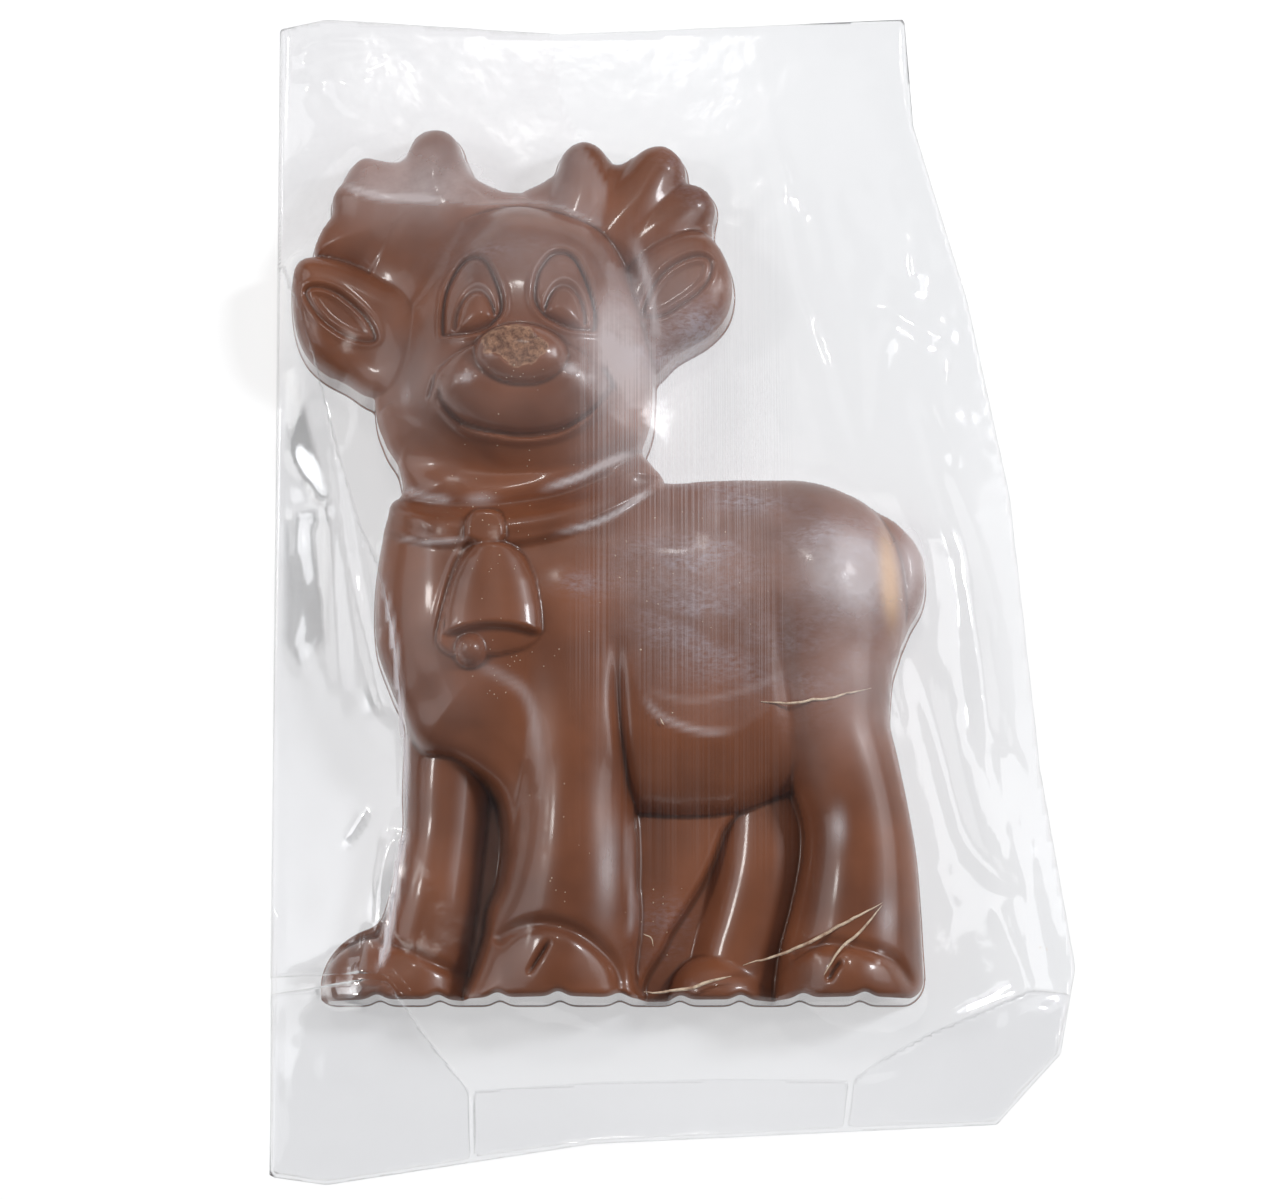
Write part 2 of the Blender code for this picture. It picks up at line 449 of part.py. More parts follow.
def bilinear(grid, xs, ys, x, y):
    """Heights of a grid with even steps, read between its points."""
    u = np.clip((x - xs[0]) / (xs[1] - xs[0]), 0.0, len(xs) - 1.001)
    v = np.clip((y - ys[0]) / (ys[1] - ys[0]), 0.0, len(ys) - 1.001)
    i, j = u.astype(int), v.astype(int)
    s, t = u - i, v - j
    near = grid[j, i] * (1 - s) + grid[j, i + 1] * s
    far = grid[j + 1, i] * (1 - s) + grid[j + 1, i + 1] * s
    return near * (1 - t) + far * t


class Film:
    """The film over the figure, pulled from the bag's flat rim over the relief, with a little sag.

    Each pass moves every point of a grid to the mean of its four neighbours less the sag, but not below
    what it lies on. The passes start on a coarse grid and end on a fine one.
    """

    def __init__(self):
        self.xs = np.arange(-80.0, 80.1, 1.0)
        self.ys = np.arange(-116.0, 116.1, 1.0)
        x, y = np.meshgrid(self.xs, self.ys)
        relief = reindeer_front(x, y - FIGURE_Y)
        solid = np.where(relief.edge > -1.0, np.maximum(relief.top, 2.0) + FILM_FLOOR + GAP, 0.0)
        for axis in (0, 1):
            solid = np.maximum(solid, np.maximum(np.roll(solid, 1, axis), np.roll(solid, -1, axis)))
        self.rest = np.maximum(solid + FILM_CLEARANCE, RIM_THICKNESS)
        self.top = self.pull(depth_inside(x, y, np.array(BAG)) > 0)

    def pull(self, inside):
        film, xs, ys = self.rest, self.xs, self.ys
        for step, passes in ((8, 200), (4, 200), (2, 200), (1, 160)):
            rest, free = self.rest[::step, ::step], inside[::step, ::step]
            film = bilinear(film, xs, ys, *np.meshgrid(self.xs[::step], self.ys[::step]))
            for _ in range(passes):
                mean = 0.25 * (np.roll(film, 1, 0) + np.roll(film, -1, 0) + np.roll(film, 1, 1) + np.roll(film, -1, 1))
                film = np.where(free, np.maximum(mean - SAG * step * step, rest), RIM_THICKNESS)
            xs, ys = self.xs[::step], self.ys[::step]
        return film

    def height(self, x, y):
        return bilinear(self.top, self.xs, self.ys, x, y)


class BagFront:
    """The upper side of the film around the figure, as height, top, and depth inside the ring, edge."""

    def __init__(self, x, y, film):
        outer = depth_inside(x, y, np.array(BAG))
        inner = -reindeer_front(x, y - FIGURE_Y).edge - DRAFT - GAP
        self.top = film.height(x, y)
        self.edge = np.minimum(outer, inner)


def to_contour(fronts, x, y, level, reach):
    """Points moved to where the depth inside the outline equals level, by at most reach along each axis."""
    nudge = 0.05  # step for the slope
    for _ in range(3):
        depth = fronts(x, y).edge - level
        slope_x = (fronts(x + nudge, y).edge - fronts(x - nudge, y).edge) / (2 * nudge)
        slope_y = (fronts(x, y + nudge).edge - fronts(x, y - nudge).edge) / (2 * nudge)
        square = np.clip(slope_x**2 + slope_y**2, 0.2, None)
        x = x - np.clip(depth * slope_x / square, -reach, reach)
        y = y - np.clip(depth * slope_y / square, -reach, reach)
    return x, y


def grid_cells(edge):
    """The grid's cells whose middle lies inside the outline, with one added where two meet at a corner."""
    cells = (edge[:-1, :-1] + edge[1:, :-1] + edge[:-1, 1:] + edge[1:, 1:]) > 0
    for _ in range(4):
        a, b, c, d = cells[:-1, :-1], cells[:-1, 1:], cells[1:, :-1], cells[1:, 1:]
        rising, falling = a & d & ~b & ~c, b & c & ~a & ~d
        cells[:-1, 1:] |= rising
        cells[:-1, :-1] |= falling
    return cells


def solid_from_front(name, fronts, box, pitch, foot_levels):
    """A closed body: a grid over the front, with its border on the outline, a wall down and a flat floor.

    foot_levels gives the height and the spread of each border's foot. Where there are two borders, the
    inner one is a recess whose floor lies at its own foot.
    """
    xs = np.arange(box[0], box[2] + pitch, pitch)
    ys = np.arange(box[1], box[3] + pitch, pitch)
    x, y = np.meshgrid(xs, ys)
    cells = grid_cells(fronts(x, y).edge)
    rows, columns = np.nonzero(cells)
    width = len(xs)
    corner = rows * width + columns
    quads = np.stack([corner, corner + 1, corner + width + 1, corner + width], axis=1)
    used, index = np.unique(quads, return_inverse=True)
    quads = index.reshape(-1, 4)
    px, py = x.ravel()[used], y.ravel()[used]
    sharing = np.bincount(quads.ravel(), minlength=len(used))
    border = np.nonzero(sharing < 4)[0]
    px[border], py[border] = to_contour(fronts, px[border], py[border], 0.0, 0.8 * pitch)
    pz = np.maximum(fronts(px, py).top, RIM_THICKNESS)

    mesh = bmesh.new()
    points = [mesh.verts.new(p) for p in np.stack([px, py, pz], axis=1) * MM]
    for quad in quads:
        mesh.faces.new([points[i] for i in quad])
    mesh.verts.index_update()
    loops = border_loops(mesh)
    loops.sort(key=lambda loop: -len(loop))
    for loop, (foot, spread) in zip(loops, foot_levels):
        bx = np.array([v.co.x for v in loop]) / MM
        by = np.array([v.co.y for v in loop]) / MM
        fx, fy = to_contour(fronts, bx, by, -spread, 0.8 * pitch) if spread else (bx, by)
        feet = [mesh.verts.new((ax * MM, ay * MM, foot * MM)) for ax, ay in zip(fx, fy)]
        for i in range(len(loop)):
            j = (i + 1) % len(loop)
            mesh.faces.new([loop[j], loop[i], feet[i], feet[j]])
        mesh.faces.new(feet[::-1])
    bmesh.ops.recalc_face_normals(mesh, faces=mesh.faces)
    data = bpy.data.meshes.new(name)
    mesh.to_mesh(data)
    mesh.free()
    data.shade_smooth()
    return data


def border_loops(mesh):
    """The open borders of a mesh, each as its points in order, with the faces on their left."""
    following = {}
    for edge in mesh.edges:
        if len(edge.link_faces) == 1:
            loop = edge.link_loops[0]
            following[loop.vert] = loop.link_loop_next.vert
    loops = []
    while following:
        start, point = next(iter(following.items()))
        del following[start]
        loop = [start]
        while point is not start:
            loop.append(point)
            point = following.pop(point)
        loops.append(loop)
    return loops


def material(name, colour, roughness, alpha=1.0):
    made = bpy.data.materials.new(name)
    made.use_nodes = True
    shader = made.node_tree.nodes["Principled BSDF"]
    shader.inputs["Base Color"].default_value = colour
    shader.inputs["Roughness"].default_value = roughness
    shader.inputs["Metallic"].default_value = 0.0
    shader.inputs["Alpha"].default_value = alpha
    made.diffuse_color = colour
    return made


def place(name, data, finish, location, share):
    """Puts a mesh into the scene, thinned to that share of its triangles."""
    data.materials.append(finish)
    piece = bpy.data.objects.new(name, data)
    piece.location = location
    bpy.context.scene.collection.objects.link(piece)
    thin = piece.modifiers.new("Fewer triangles", "DECIMATE")
    thin.ratio = share
    return piece


def main():
    for old in list(bpy.data.objects):
        bpy.data.objects.remove(old)
    chocolate = material("Milk chocolate", CHOCOLATE, 0.35)
    film = material("Clear film", FILM, 0.1, 0.3)
    figure = solid_from_front("reindeer", reindeer_front, FIGURE_BOX, FIGURE_GRID, [(0.0, DRAFT)])
    lies_at = (0.0, FIGURE_Y * MM, (FILM_FLOOR + GAP) * MM)
    place("reindeer", figure, chocolate, lies_at, FIGURE_SHARE)
    pulled = Film()

    def bag_front(x, y):
        return BagFront(x, y, pulled)

    pouch = solid_from_front("bag", bag_front, BAG_BOX, BAG_GRID, [(0.0, 0.0), (FILM_FLOOR, 0.0)])
    place("bag", pouch, film, (0.0, 0.0, 0.0), BAG_SHARE)


main()
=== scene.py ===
"""A milk-chocolate reindeer in its clear cellophane bag, lying on its flat back.

The figure is a flat-backed moulded relief: its front is one height above the table for each point (x, y) of
the plan, worked out from named forms that are blended into each other. The film is pulled tight over that
relief and creased. Plan and heights are in millimetres in the tables and functions, and become metres in
the meshes. X runs to the right of the figure, Y from its hooves to its antlers, and Z up from the table.
"""

import bmesh
import bpy
import numpy as np
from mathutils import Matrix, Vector


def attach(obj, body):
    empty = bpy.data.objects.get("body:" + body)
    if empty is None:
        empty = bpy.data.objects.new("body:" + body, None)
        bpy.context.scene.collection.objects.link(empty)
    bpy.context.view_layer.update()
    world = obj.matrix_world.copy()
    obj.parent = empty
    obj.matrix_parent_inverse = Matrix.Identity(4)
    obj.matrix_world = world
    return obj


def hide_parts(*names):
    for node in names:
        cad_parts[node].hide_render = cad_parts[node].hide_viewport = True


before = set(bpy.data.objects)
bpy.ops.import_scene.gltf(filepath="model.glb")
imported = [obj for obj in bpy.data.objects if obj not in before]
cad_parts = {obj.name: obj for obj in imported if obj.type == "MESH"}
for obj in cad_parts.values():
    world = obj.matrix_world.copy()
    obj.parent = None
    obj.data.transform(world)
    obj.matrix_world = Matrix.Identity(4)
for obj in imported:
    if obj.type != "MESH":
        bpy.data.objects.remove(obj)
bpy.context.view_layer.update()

MM = 0.001

# The whole figure and its place in the bag
FIGURE_Y = -2.0  # shifts the figure so that the bag is centred on the origin
BASE_LINE = -75.6  # the straight edge that the hooves stand on
BASE_CORNER = 4.3  # radius of the corner behind the near rear hoof
BASE_CORNER_X = 42.0  # where that corner starts
NOTCH_AT = -20.6  # x of one of the shallow channels across the base
NOTCH_PITCH = 11.1  # from one channel to the next
NOTCH_DEPTH = 0.9
NOTCH_WIDTH = 1.6
RIM_ROUNDING = 1.2  # how far the edge of the front is rounded off

# Heights of the front above the flat back
TRUNK_RIM, TRUNK_CROWN = 9.0, 21.0
HEAD_RIM, HEAD_CROWN = 12.0, 26.0
NECK_RIM, NECK_CROWN = 10.0, 18.5
EAR_RIM, EAR_CROWN = 8.5, 14.0
ANTLER_RIM, ANTLER_CROWN = 7.0, 11.0
TAIL_RIM, TAIL_CROWN = 7.0, 12.0
WEB_HEIGHT = 5.0  # the thin wall that fills the gaps between the legs
PLATE_HEIGHT = 10.0  # the raised part of that wall behind the near front leg
NOSE_TOP = 35.0
BELL_RIM, BELL_CROWN = 23.0, 26.8
FRONT_LEG_RIM, FRONT_LEG_CROWN = 12.5, 18.0
# How far the head's left slope starts outside it, from which x on, and the height that it starts from
SOFT_LEFT, HEAD_MIDDLE, HEAD_FOOT = 8.0, -30.0, 8.0
HEAD_ROUNDING, HEAD_SLOPE = 18.0, 17.0  # widths of the head's round right side and sloping left side
MUZZLE_STEP = 1.8  # how far the muzzle stands above the cheeks
EYE_FIELD = 0.7  # how far each eye is sunk
EYE_GROOVE, EYE_LIP = 0.95, 0.35  # depth of the line around it, and height of the lip outside that line
PUPIL_RISE, PUPIL_GROOVE = 1.6, 0.55  # height of the pupil, and depth of the line around it
EAR_FIELD, EAR_GROOVE = 0.6, 0.8  # how far the inside of an ear and the line around it are sunk
COLLAR_STEP = 0.9  # how far the collar stands above the chest
STEEP = 5.0  # rise of an inner wall for each millimetre across
CRISP = 0.5  # blend between two forms that keep a clear corner

# The bag
FIGURE_Z = 0.8  # height of the figure's flat back above the table, on the bag's lower film
FILM_PITCH = 0.84  # grid of the film's meshes
FIGURE_PITCH = 0.39  # grid of the figure's mesh
FILM_CLEARANCE = 0.3  # between the film and the chocolate that it lies on
RIM_HEIGHT = 0.55  # upper film at the bag's flat edge
FLOOR_FILM = 0.2  # lower film above the table

# Outlines in the plan, each a closed smooth curve through its points
TRUNK = [(-50.0, 18.0), (-53.0, 13.0), (-54.5, 5.0), (-55.0, -2.5), (-54.5, -10.0), (-51.5, -18.5),
         (-49.0, -23.5), (-47.5, -28.0), (-45.5, -30.8), (-42.5, -31.0), (-39.0, -31.5), (-35.5, -34.0),
         (-32.0, -37.5), (-28.0, -42.0), (-18.0, -43.0), (-8.0, -41.5), (3.5, -42.0), (12.5, -41.0),
         (22.0, -37.5), (33.0, -34.0), (39.0, -27.0), (39.8, -21.0), (40.3, -16.5), (42.4, -11.0),
         (43.5, -3.5), (42.8, 4.5), (40.5, 11.0), (36.5, 16.0), (30.5, 19.3), (24.5, 20.8), (19.0, 21.0),
         (8.0, 21.0), (-1.0, 20.5), (-12.0, 22.0), (-32.0, 22.0)]
FRONT_LEG = [(-54.0, -8.0), (-51.5, -18.5), (-49.0, -23.5), (-47.0, -28.0), (-44.5, -30.5),
             (-40.0, -31.5), (-35.8, -34.0), (-32.3, -37.0), (-30.6, -40.5), (-30.0, -46.5),
             (-30.8, -54.0), (-32.8, -59.5), (-33.3, -64.0), (-35.2, -70.0), (-37.5, -76.5),
             (-37.5, -84.0), (-8.0, -84.0), (-7.0, -70.0), (-6.2, -63.0), (-6.2, -57.5), (-7.2, -52.0),
             (-7.6, -44.0), (-8.4, -36.0), (-9.5, -25.0), (-10.0, -10.0), (-20.0, 0.0), (-45.0, 2.0)]
TAIL = [(33.0, 17.0), (39.5, 15.0), (43.2, 12.5), (46.3, 8.5), (47.3, 3.5), (46.8, -1.5), (44.8, -5.5),
        (41.5, -10.0), (36.0, -4.0)]
WEB = [(-44.0, -30.0), (-30.0, -34.0), (0.0, -36.0), (30.0, -34.0), (36.0, -50.0), (34.0, -82.0),
       (-10.0, -84.0), (-44.0, -82.0), (-46.0, -50.0)]
PLATE = [(-14.0, -34.0), (11.0, -38.0), (9.0, -45.0), (6.2, -52.0), (3.0, -57.5), (-0.3, -62.5),
         (-2.0, -66.0), (-5.5, -72.0), (-7.0, -80.0), (-16.0, -80.0), (-16.0, -50.0)]
NECK = [(-50.0, 35.0), (-53.0, 28.5), (-51.0, 24.0), (-50.0, 20.0), (-49.5, 15.5), (-44.0, 11.0),
        (-30.0, 9.0), (-14.0, 12.0), (-2.0, 19.5), (-3.5, 23.5), (-6.0, 27.0), (-10.0, 35.0)]
HEAD = [(-46.5, 61.5), (-44.0, 66.0), (-37.5, 70.5), (-29.5, 72.5), (-22.0, 71.5), (-14.5, 68.5),
        (-10.0, 63.5), (-7.5, 57.0), (-5.0, 48.5), (-3.5, 41.5), (-3.5, 36.0), (-4.0, 30.5), (-6.5, 25.5),
        (-14.0, 21.0), (-27.0, 19.0), (-40.0, 19.5), (-48.5, 22.5), (-53.0, 27.5), (-55.0, 33.0),
        (-55.0, 39.5), (-53.0, 47.0), (-50.0, 54.5)]
LEFT_ANTLER = [(-51.0, 52.0), (-60.0, 60.5), (-67.0, 64.5), (-66.3, 69.0), (-64.2, 72.5), (-63.8, 76.5),
               (-61.3, 79.7), (-58.5, 83.3), (-55.0, 83.2), (-51.3, 83.0), (-48.3, 86.0), (-44.8, 88.5),
               (-41.2, 87.5), (-39.0, 83.0), (-36.8, 79.8), (-32.0, 77.3), (-26.5, 75.5), (-26.0, 66.0),
               (-37.0, 58.0)]
RIGHT_ANTLER = [(-32.0, 67.0), (-29.5, 76.0), (-24.5, 79.2), (-20.8, 82.0), (-18.7, 85.4), (-16.3, 87.0),
                (-13.5, 85.0), (-10.2, 82.8), (-7.2, 84.2), (-4.2, 85.3), (-1.2, 86.0), (0.7, 83.7),
                (1.5, 80.5), (4.2, 78.5), (6.3, 75.3), (7.8, 70.0), (6.0, 63.0), (-5.0, 57.0),
                (-14.0, 60.0)]
LEFT_EAR = [(-49.0, 55.0), (-54.5, 59.5), (-61.0, 62.7), (-67.5, 64.0), (-70.8, 62.0), (-71.3, 56.5),
            (-70.5, 50.0), (-68.5, 45.2), (-65.3, 42.0), (-61.0, 39.6), (-55.0, 36.5), (-48.0, 41.0)]
RIGHT_EAR = [(-13.0, 52.0), (-9.0, 61.0), (-3.5, 66.3), (3.0, 68.8), (7.5, 67.8), (10.5, 63.5),
             (11.6, 58.0), (10.4, 52.8), (6.8, 48.8), (1.0, 45.3), (-4.0, 41.0), (-11.0, 42.0)]
LEFT_EAR_HOLLOW = [(-68.3, 56.0), (-66.3, 57.2), (-62.5, 56.0), (-58.7, 53.0), (-56.2, 50.0),
                   (-55.2, 47.0), (-58.0, 46.8), (-62.0, 48.5), (-65.8, 51.7)]
RIGHT_EAR_HOLLOW = [(-5.3, 51.7), (-3.5, 57.0), (0.0, 61.0), (4.5, 63.0), (7.3, 62.3), (7.3, 59.3),
                    (5.3, 56.3), (1.5, 53.4), (-2.0, 51.5)]
LEFT_EYE = [(-42.5, 46.3), (-42.6, 48.4), (-42.5, 51.2), (-41.9, 54.9), (-40.2, 58.4), (-38.4, 60.3),
            (-36.3, 60.8), (-34.4, 60.0), (-32.9, 57.9), (-31.1, 53.3), (-30.7, 49.7), (-32.0, 47.4),
            (-34.2, 45.7), (-37.5, 44.9), (-41.3, 45.1), (-42.3, 45.4)]
RIGHT_EYE = [(-20.6, 61.4), (-22.3, 60.8), (-23.7, 59.2), (-25.1, 56.3), (-25.6, 51.8), (-24.3, 49.0),
             (-22.3, 47.4), (-18.6, 45.9), (-14.8, 45.9), (-13.8, 46.3), (-13.7, 50.1), (-15.0, 54.8),
             (-16.9, 59.1), (-18.6, 60.9)]
MUZZLE = [(-43.5, 35.5), (-42.6, 33.2), (-40.3, 30.3), (-36.5, 27.8), (-31.0, 26.4), (-25.0, 26.4),
          (-19.0, 27.8), (-14.2, 30.8), (-11.5, 34.5), (-12.5, 38.0), (-19.0, 43.0), (-27.5, 45.5),
          (-36.5, 43.0), (-43.0, 38.5)]
BELL = [(-30.1, 6.8), (-33.4, 7.2), (-36.5, 6.8), (-38.2, 5.0), (-39.7, 1.8), (-41.1, -3.0), (-42.2, -7.7),
        (-42.5, -11.0), (-41.2, -12.8), (-38.7, -13.8), (-33.3, -13.8), (-28.4, -12.9), (-25.3, -11.5),
        (-23.8, -9.5), (-23.7, -6.1), (-24.2, -1.1), (-25.4, 2.1), (-27.7, 5.3)]
KNOT = [(-37.6, 7.2), (-38.0, 9.2), (-37.6, 11.2), (-36.3, 12.9), (-33.7, 13.3), (-31.5, 12.7),
        (-30.3, 10.5), (-30.1, 8.3), (-31.0, 6.8), (-33.8, 5.9)]

# Lines in the plan, each an open smooth curve
SMILE = [(-43.3, 36.6), (-42.1, 33.0), (-40.0, 30.5), (-37.8, 29.0), (-35.1, 28.0), (-32.0, 27.3),
         (-27.8, 26.8), (-23.2, 27.2), (-19.2, 28.3), (-15.0, 30.9), (-12.4, 33.7), (-11.1, 36.3)]
LEFT_DIMPLE = [(-43.2, 38.4), (-44.0, 35.9), (-44.8, 33.2)]
RIGHT_DIMPLE = [(-12.8, 39.9), (-11.7, 37.6), (-10.2, 34.6)]
COLLAR_TOP = [(-52.0, 17.5), (-48.0, 15.6), (-41.5, 14.5), (-35.0, 14.2), (-29.0, 14.6), (-20.5, 16.3),
              (-14.0, 19.2), (-8.5, 22.8), (-2.0, 28.0)]
COLLAR_LOW = [(-54.0, 10.5), (-49.5, 8.8), (-45.0, 7.2), (-39.5, 6.5), (-29.5, 6.7), (-22.0, 8.0),
              (-16.5, 10.0), (-9.0, 14.0), (-2.0, 18.7)]
NEAR_FRONT_HOOF = [(-32.5, -66.0), (-30.3, -64.2), (-26.5, -62.8), (-22.0, -62.6), (-17.0, -64.2),
                   (-12.8, -67.2), (-10.0, -70.8), (-9.2, -76.0)]
NEAR_REAR_HOOF = [(21.5, -68.0), (24.5, -66.8), (29.0, -66.0), (35.0, -67.0), (40.5, -69.2),
                  (44.3, -74.0)]
FAR_FRONT_HOOF = [(-54.0, -64.2), (-48.0, -66.8), (-42.0, -69.5), (-36.0, -71.5)]
NEAR_FRONT_CLEFT = [(-22.0, -65.5), (-24.0, -68.5), (-26.0, -71.8)]
NEAR_REAR_CLEFT = [(30.8, -69.0), (29.3, -70.8), (28.2, -73.0)]
SHOULDER_CREASE = [(-10.0, -10.0), (-9.6, -24.0), (-8.2, -36.5), (-7.0, -44.0)]
THIGH_CREASE = [(19.0, -2.0), (20.5, -15.0), (21.8, -24.5), (22.5, -36.0)]

# Grooves along the collar: line, how far above it, depth (negative for a ridge), half width
COLLAR_MIDDLE = [(0.5 * (ax + bx), 0.5 * (ay + by)) for (ax, ay), (bx, by) in zip(COLLAR_TOP, COLLAR_LOW)]
COLLAR_GROOVES = [
    (COLLAR_TOP, -0.2, 1.4, 1.5),
    (COLLAR_TOP, 3.8, -1.7, 3.2),
    (COLLAR_MIDDLE, 0.0, -1.5, 2.6),
    (COLLAR_LOW, 0.8, -0.15, 0.7),
]

# Soft swellings: centre, radii, height, turn in degrees
HOOF_SWELLINGS = [
    ((-22.5, -70.5), (9.0, 6.5), 1.6, -6),
    ((32.5, -72.0), (9.0, 5.0), 1.5, -6),
]
# Soft swellings: centre, radii, height
TRUNK_SWELLINGS = [
    ((27.0, 0.0), (15.0, 17.0), 4.5),
    ((2.0, -12.0), (18.0, 18.0), 1.5),
    ((-30.0, -2.0), (20.0, 18.0), 2.0),
]
MUZZLE_SWELLINGS = [
    ((-27.5, 33.5), (12.5, 6.5), 2.0),
    ((-37.0, 36.0), (4.5, 4.5), 1.6),
    ((-17.8, 37.0), (4.5, 4.5), 1.6),
]
FOREHEAD, FOREHEAD_RADII, FOREHEAD_RISE = (-28.5, 50.0), (18.0, 16.0), 2.0
NOSE, NOSE_RADII = (-27.5, 40.6), (8.4, 5.7)
CLAPPER, CLAPPER_RADII = (-36.6, -12.7), (3.2, 3.5)
LEFT_PUPIL, RIGHT_PUPIL = (-36.0, 46.6), (-19.7, 47.6)
PUPIL_RADII = (3.7, 7.0)
BELL_MIDDLE = -32.5  # x of the bell's axis
BELL_MOUTH = -7.9  # y of the front of its mouth
# The bell's half width at some heights y
BELL_PROFILE = [(-16.0, 9.2), (-10.0, 9.1), (-5.0, 8.7), (0.0, 7.7), (4.0, 6.0), (7.0, 3.8)]

# Limbs as chains of balls: x, y, height of the centre, radius
FAR_FRONT_LIMB = [(-40.5, -24.0, 4.0, 8.5), (-41.5, -36.0, 4.5, 8.0), (-42.0, -45.0, 5.0, 7.5),
                  (-43.8, -57.0, 5.0, 8.0), (-46.0, -68.0, 3.0, 9.0), (-47.0, -80.0, 2.0, 10.0)]
FAR_REAR_LIMB = [(18.0, -36.0, 0.5, 9.5), (17.0, -50.0, 1.0, 9.5), (14.5, -60.0, 1.0, 9.0),
                 (12.0, -68.0, 1.0, 8.6), (10.0, -80.0, 1.0, 8.6)]
NEAR_REAR_LIMB = [(29.0, -5.0, 9.0, 13.5), (29.0, -16.0, 11.0, 11.8), (29.4, -25.0, 11.0, 11.0),
                  (32.0, -34.0, 11.0, 10.2), (34.0, -42.0, 10.5, 9.8), (34.6, -50.0, 9.5, 10.5),
                  (34.0, -60.0, 8.0, 11.9), (33.0, -70.0, 6.0, 13.4), (32.5, -84.0, 5.0, 14.0)]
NEAR_FRONT_LIMB = [(-20.0, -4.0, 9.0, 13.0), (-17.5, -24.0, 12.5, 11.0), (-17.6, -38.0, 12.5, 10.6),
                   (-18.0, -50.0, 11.5, 11.6), (-19.2, -60.0, 9.5, 12.8), (-20.0, -70.0, 7.0, 13.6),
                   (-20.5, -84.0, 6.0, 14.0)]
LEFT_TINES = [
    [(-44.8, 84.3, 6.0, 5.0), (-44.4, 79.0, 5.0, 6.5), (-45.0, 72.0, 2.5, 8.0)],
    [(-57.5, 79.0, 5.0, 4.5), (-55.0, 75.0, 4.0, 5.5), (-52.0, 70.0, 2.0, 6.5)],
]
RIGHT_TINES = [
    [(-16.4, 82.0, 6.4, 4.8), (-17.2, 76.0, 6.6, 5.4), (-19.5, 68.0, 5.4, 6.5)],
    [(-2.4, 80.8, 6.4, 5.2), (-6.0, 75.5, 6.8, 5.2), (-11.5, 68.0, 6.2, 6.2)],
    [(3.8, 74.0, 6.0, 4.6), (-0.5, 70.5, 6.4, 4.6), (-7.0, 64.5, 6.0, 5.5)],
]
# Plan of the grids: lowest x and y, highest x and y
FIGURE_BOX = (-75.0, -79.0, 51.0, 92.0)
BAG_BOX = (-78.0, -115.0, 78.0, 115.0)

# The broken tip of the nose
CHIP, CHIP_RADII, CHIP_DEPTH = (-28.4, 41.8), (5.6, 3.6), 1.5

LOWEST_FRONT = 1.3  # of the figure's front, just above the top ring of its wall
# Rings of the figure's wall below its front: depth inside the outline, negative beyond it, and height.
# The height of the first one is counted down from the front's border.
WALL = [(-0.02, 0.2), (-0.55, 0.8), (-0.72, 0.5), (-0.76, 0.0)]

# Patches of grey bloom and scuffs on the chocolate, and on the rump a painted bluish halo around its
# highlight: centre, radii, turn in degrees, strength
BLOOM_AND_HALO = [
    ((10.5, 17.0), (9.0, 3.2), -12, 1.6),
    ((31.0, 8.5), (9.0, 3.8), -8, 1.2),
    # painted halo around the rump's highlight, together with grey bloom
    ((33.0, 1.0), (8.0, 8.0), 0, 1.2),
    ((7.0, 3.0), (9.0, 4.0), -10, 1.2),
    ((3.0, 6.0), (10.0, 3.0), 0, 0.8),
    ((3.0, -7.0), (12.0, 8.0), -20, 1.0),
    ((12.0, -14.0), (10.0, 8.0), 0, 0.4),
    ((-16.5, -0.5), (4.0, 3.0), 0, 0.7),
    ((26.0, -14.0), (9.0, 10.0), 0, 0.45),
    ((1.0, 45.5), (8.0, 4.5), 25, 1.8),
    ((5.0, 50.0), (5.0, 5.0), 25, 0.8),
    ((-8.0, 50.0), (4.5, 9.0), 10, 0.6),
    ((-7.5, 37.0), (4.0, 7.0), 0, 0.6),
    ((4.0, 78.0), (7.0, 5.0), -40, 0.5),
    ((0.0, 83.0), (3.0, 2.5), 0, 0.8),
    ((-2.0, -62.0), (5.0, 6.0), -30, 0.6),
    ((-30.0, 62.0), (13.0, 6.0), 0, 0.35),
    ((1.0, -6.5), (9.0, 0.8), -18, -0.7),
    ((8.0, -10.0), (7.0, 0.8), -20, -0.7),
    ((4.0, 1.0), (5.0, 0.7), -12, -0.7),
]

# A painted warm amber reflection beside the tail: centre, radii, turn in degrees, strength
AMBER_REFLECTION = [((40.0, 1.5), (2.0, 8.0), 3, 1.0)]

# Patches of the film with a crisp border, mostly a painted soft reflection of the room laid on as white
# haze, with some haze of the film: outline and strength
MILKY_HAZE_AND_REFLECTION = [
    ([(-75.0, 112.0), (-76.0, 60.0), (-66.0, 66.0), (-63.0, 75.4), (-58.6, 73.6), (-53.9, 72.2),
      (-45.4, 71.8), (-37.4, 69.4), (-26.3, 69.8), (-20.7, 68.8), (-12.9, 64.8), (-12.0, 74.0),
      (-20.0, 90.0), (-24.0, 112.0)], 0.15),
    ([(-14.0, 22.0), (30.0, 21.0), (42.0, 10.0), (41.0, -6.0), (30.0, -24.0), (19.6, -24.2), (12.3, -29.7),
      (5.1, -29.7), (-2.2, -26.9), (-6.5, -21.4), (-10.5, 0.0)], 0.03),
    ([(-12.0, 58.0), (-6.0, 55.0), (-4.5, 46.0), (-2.0, 40.0), (10.0, 46.0), (10.0, 40.0), (0.0, 30.0),
      (-8.0, 30.0), (-13.0, 42.0)], 0.10),
]
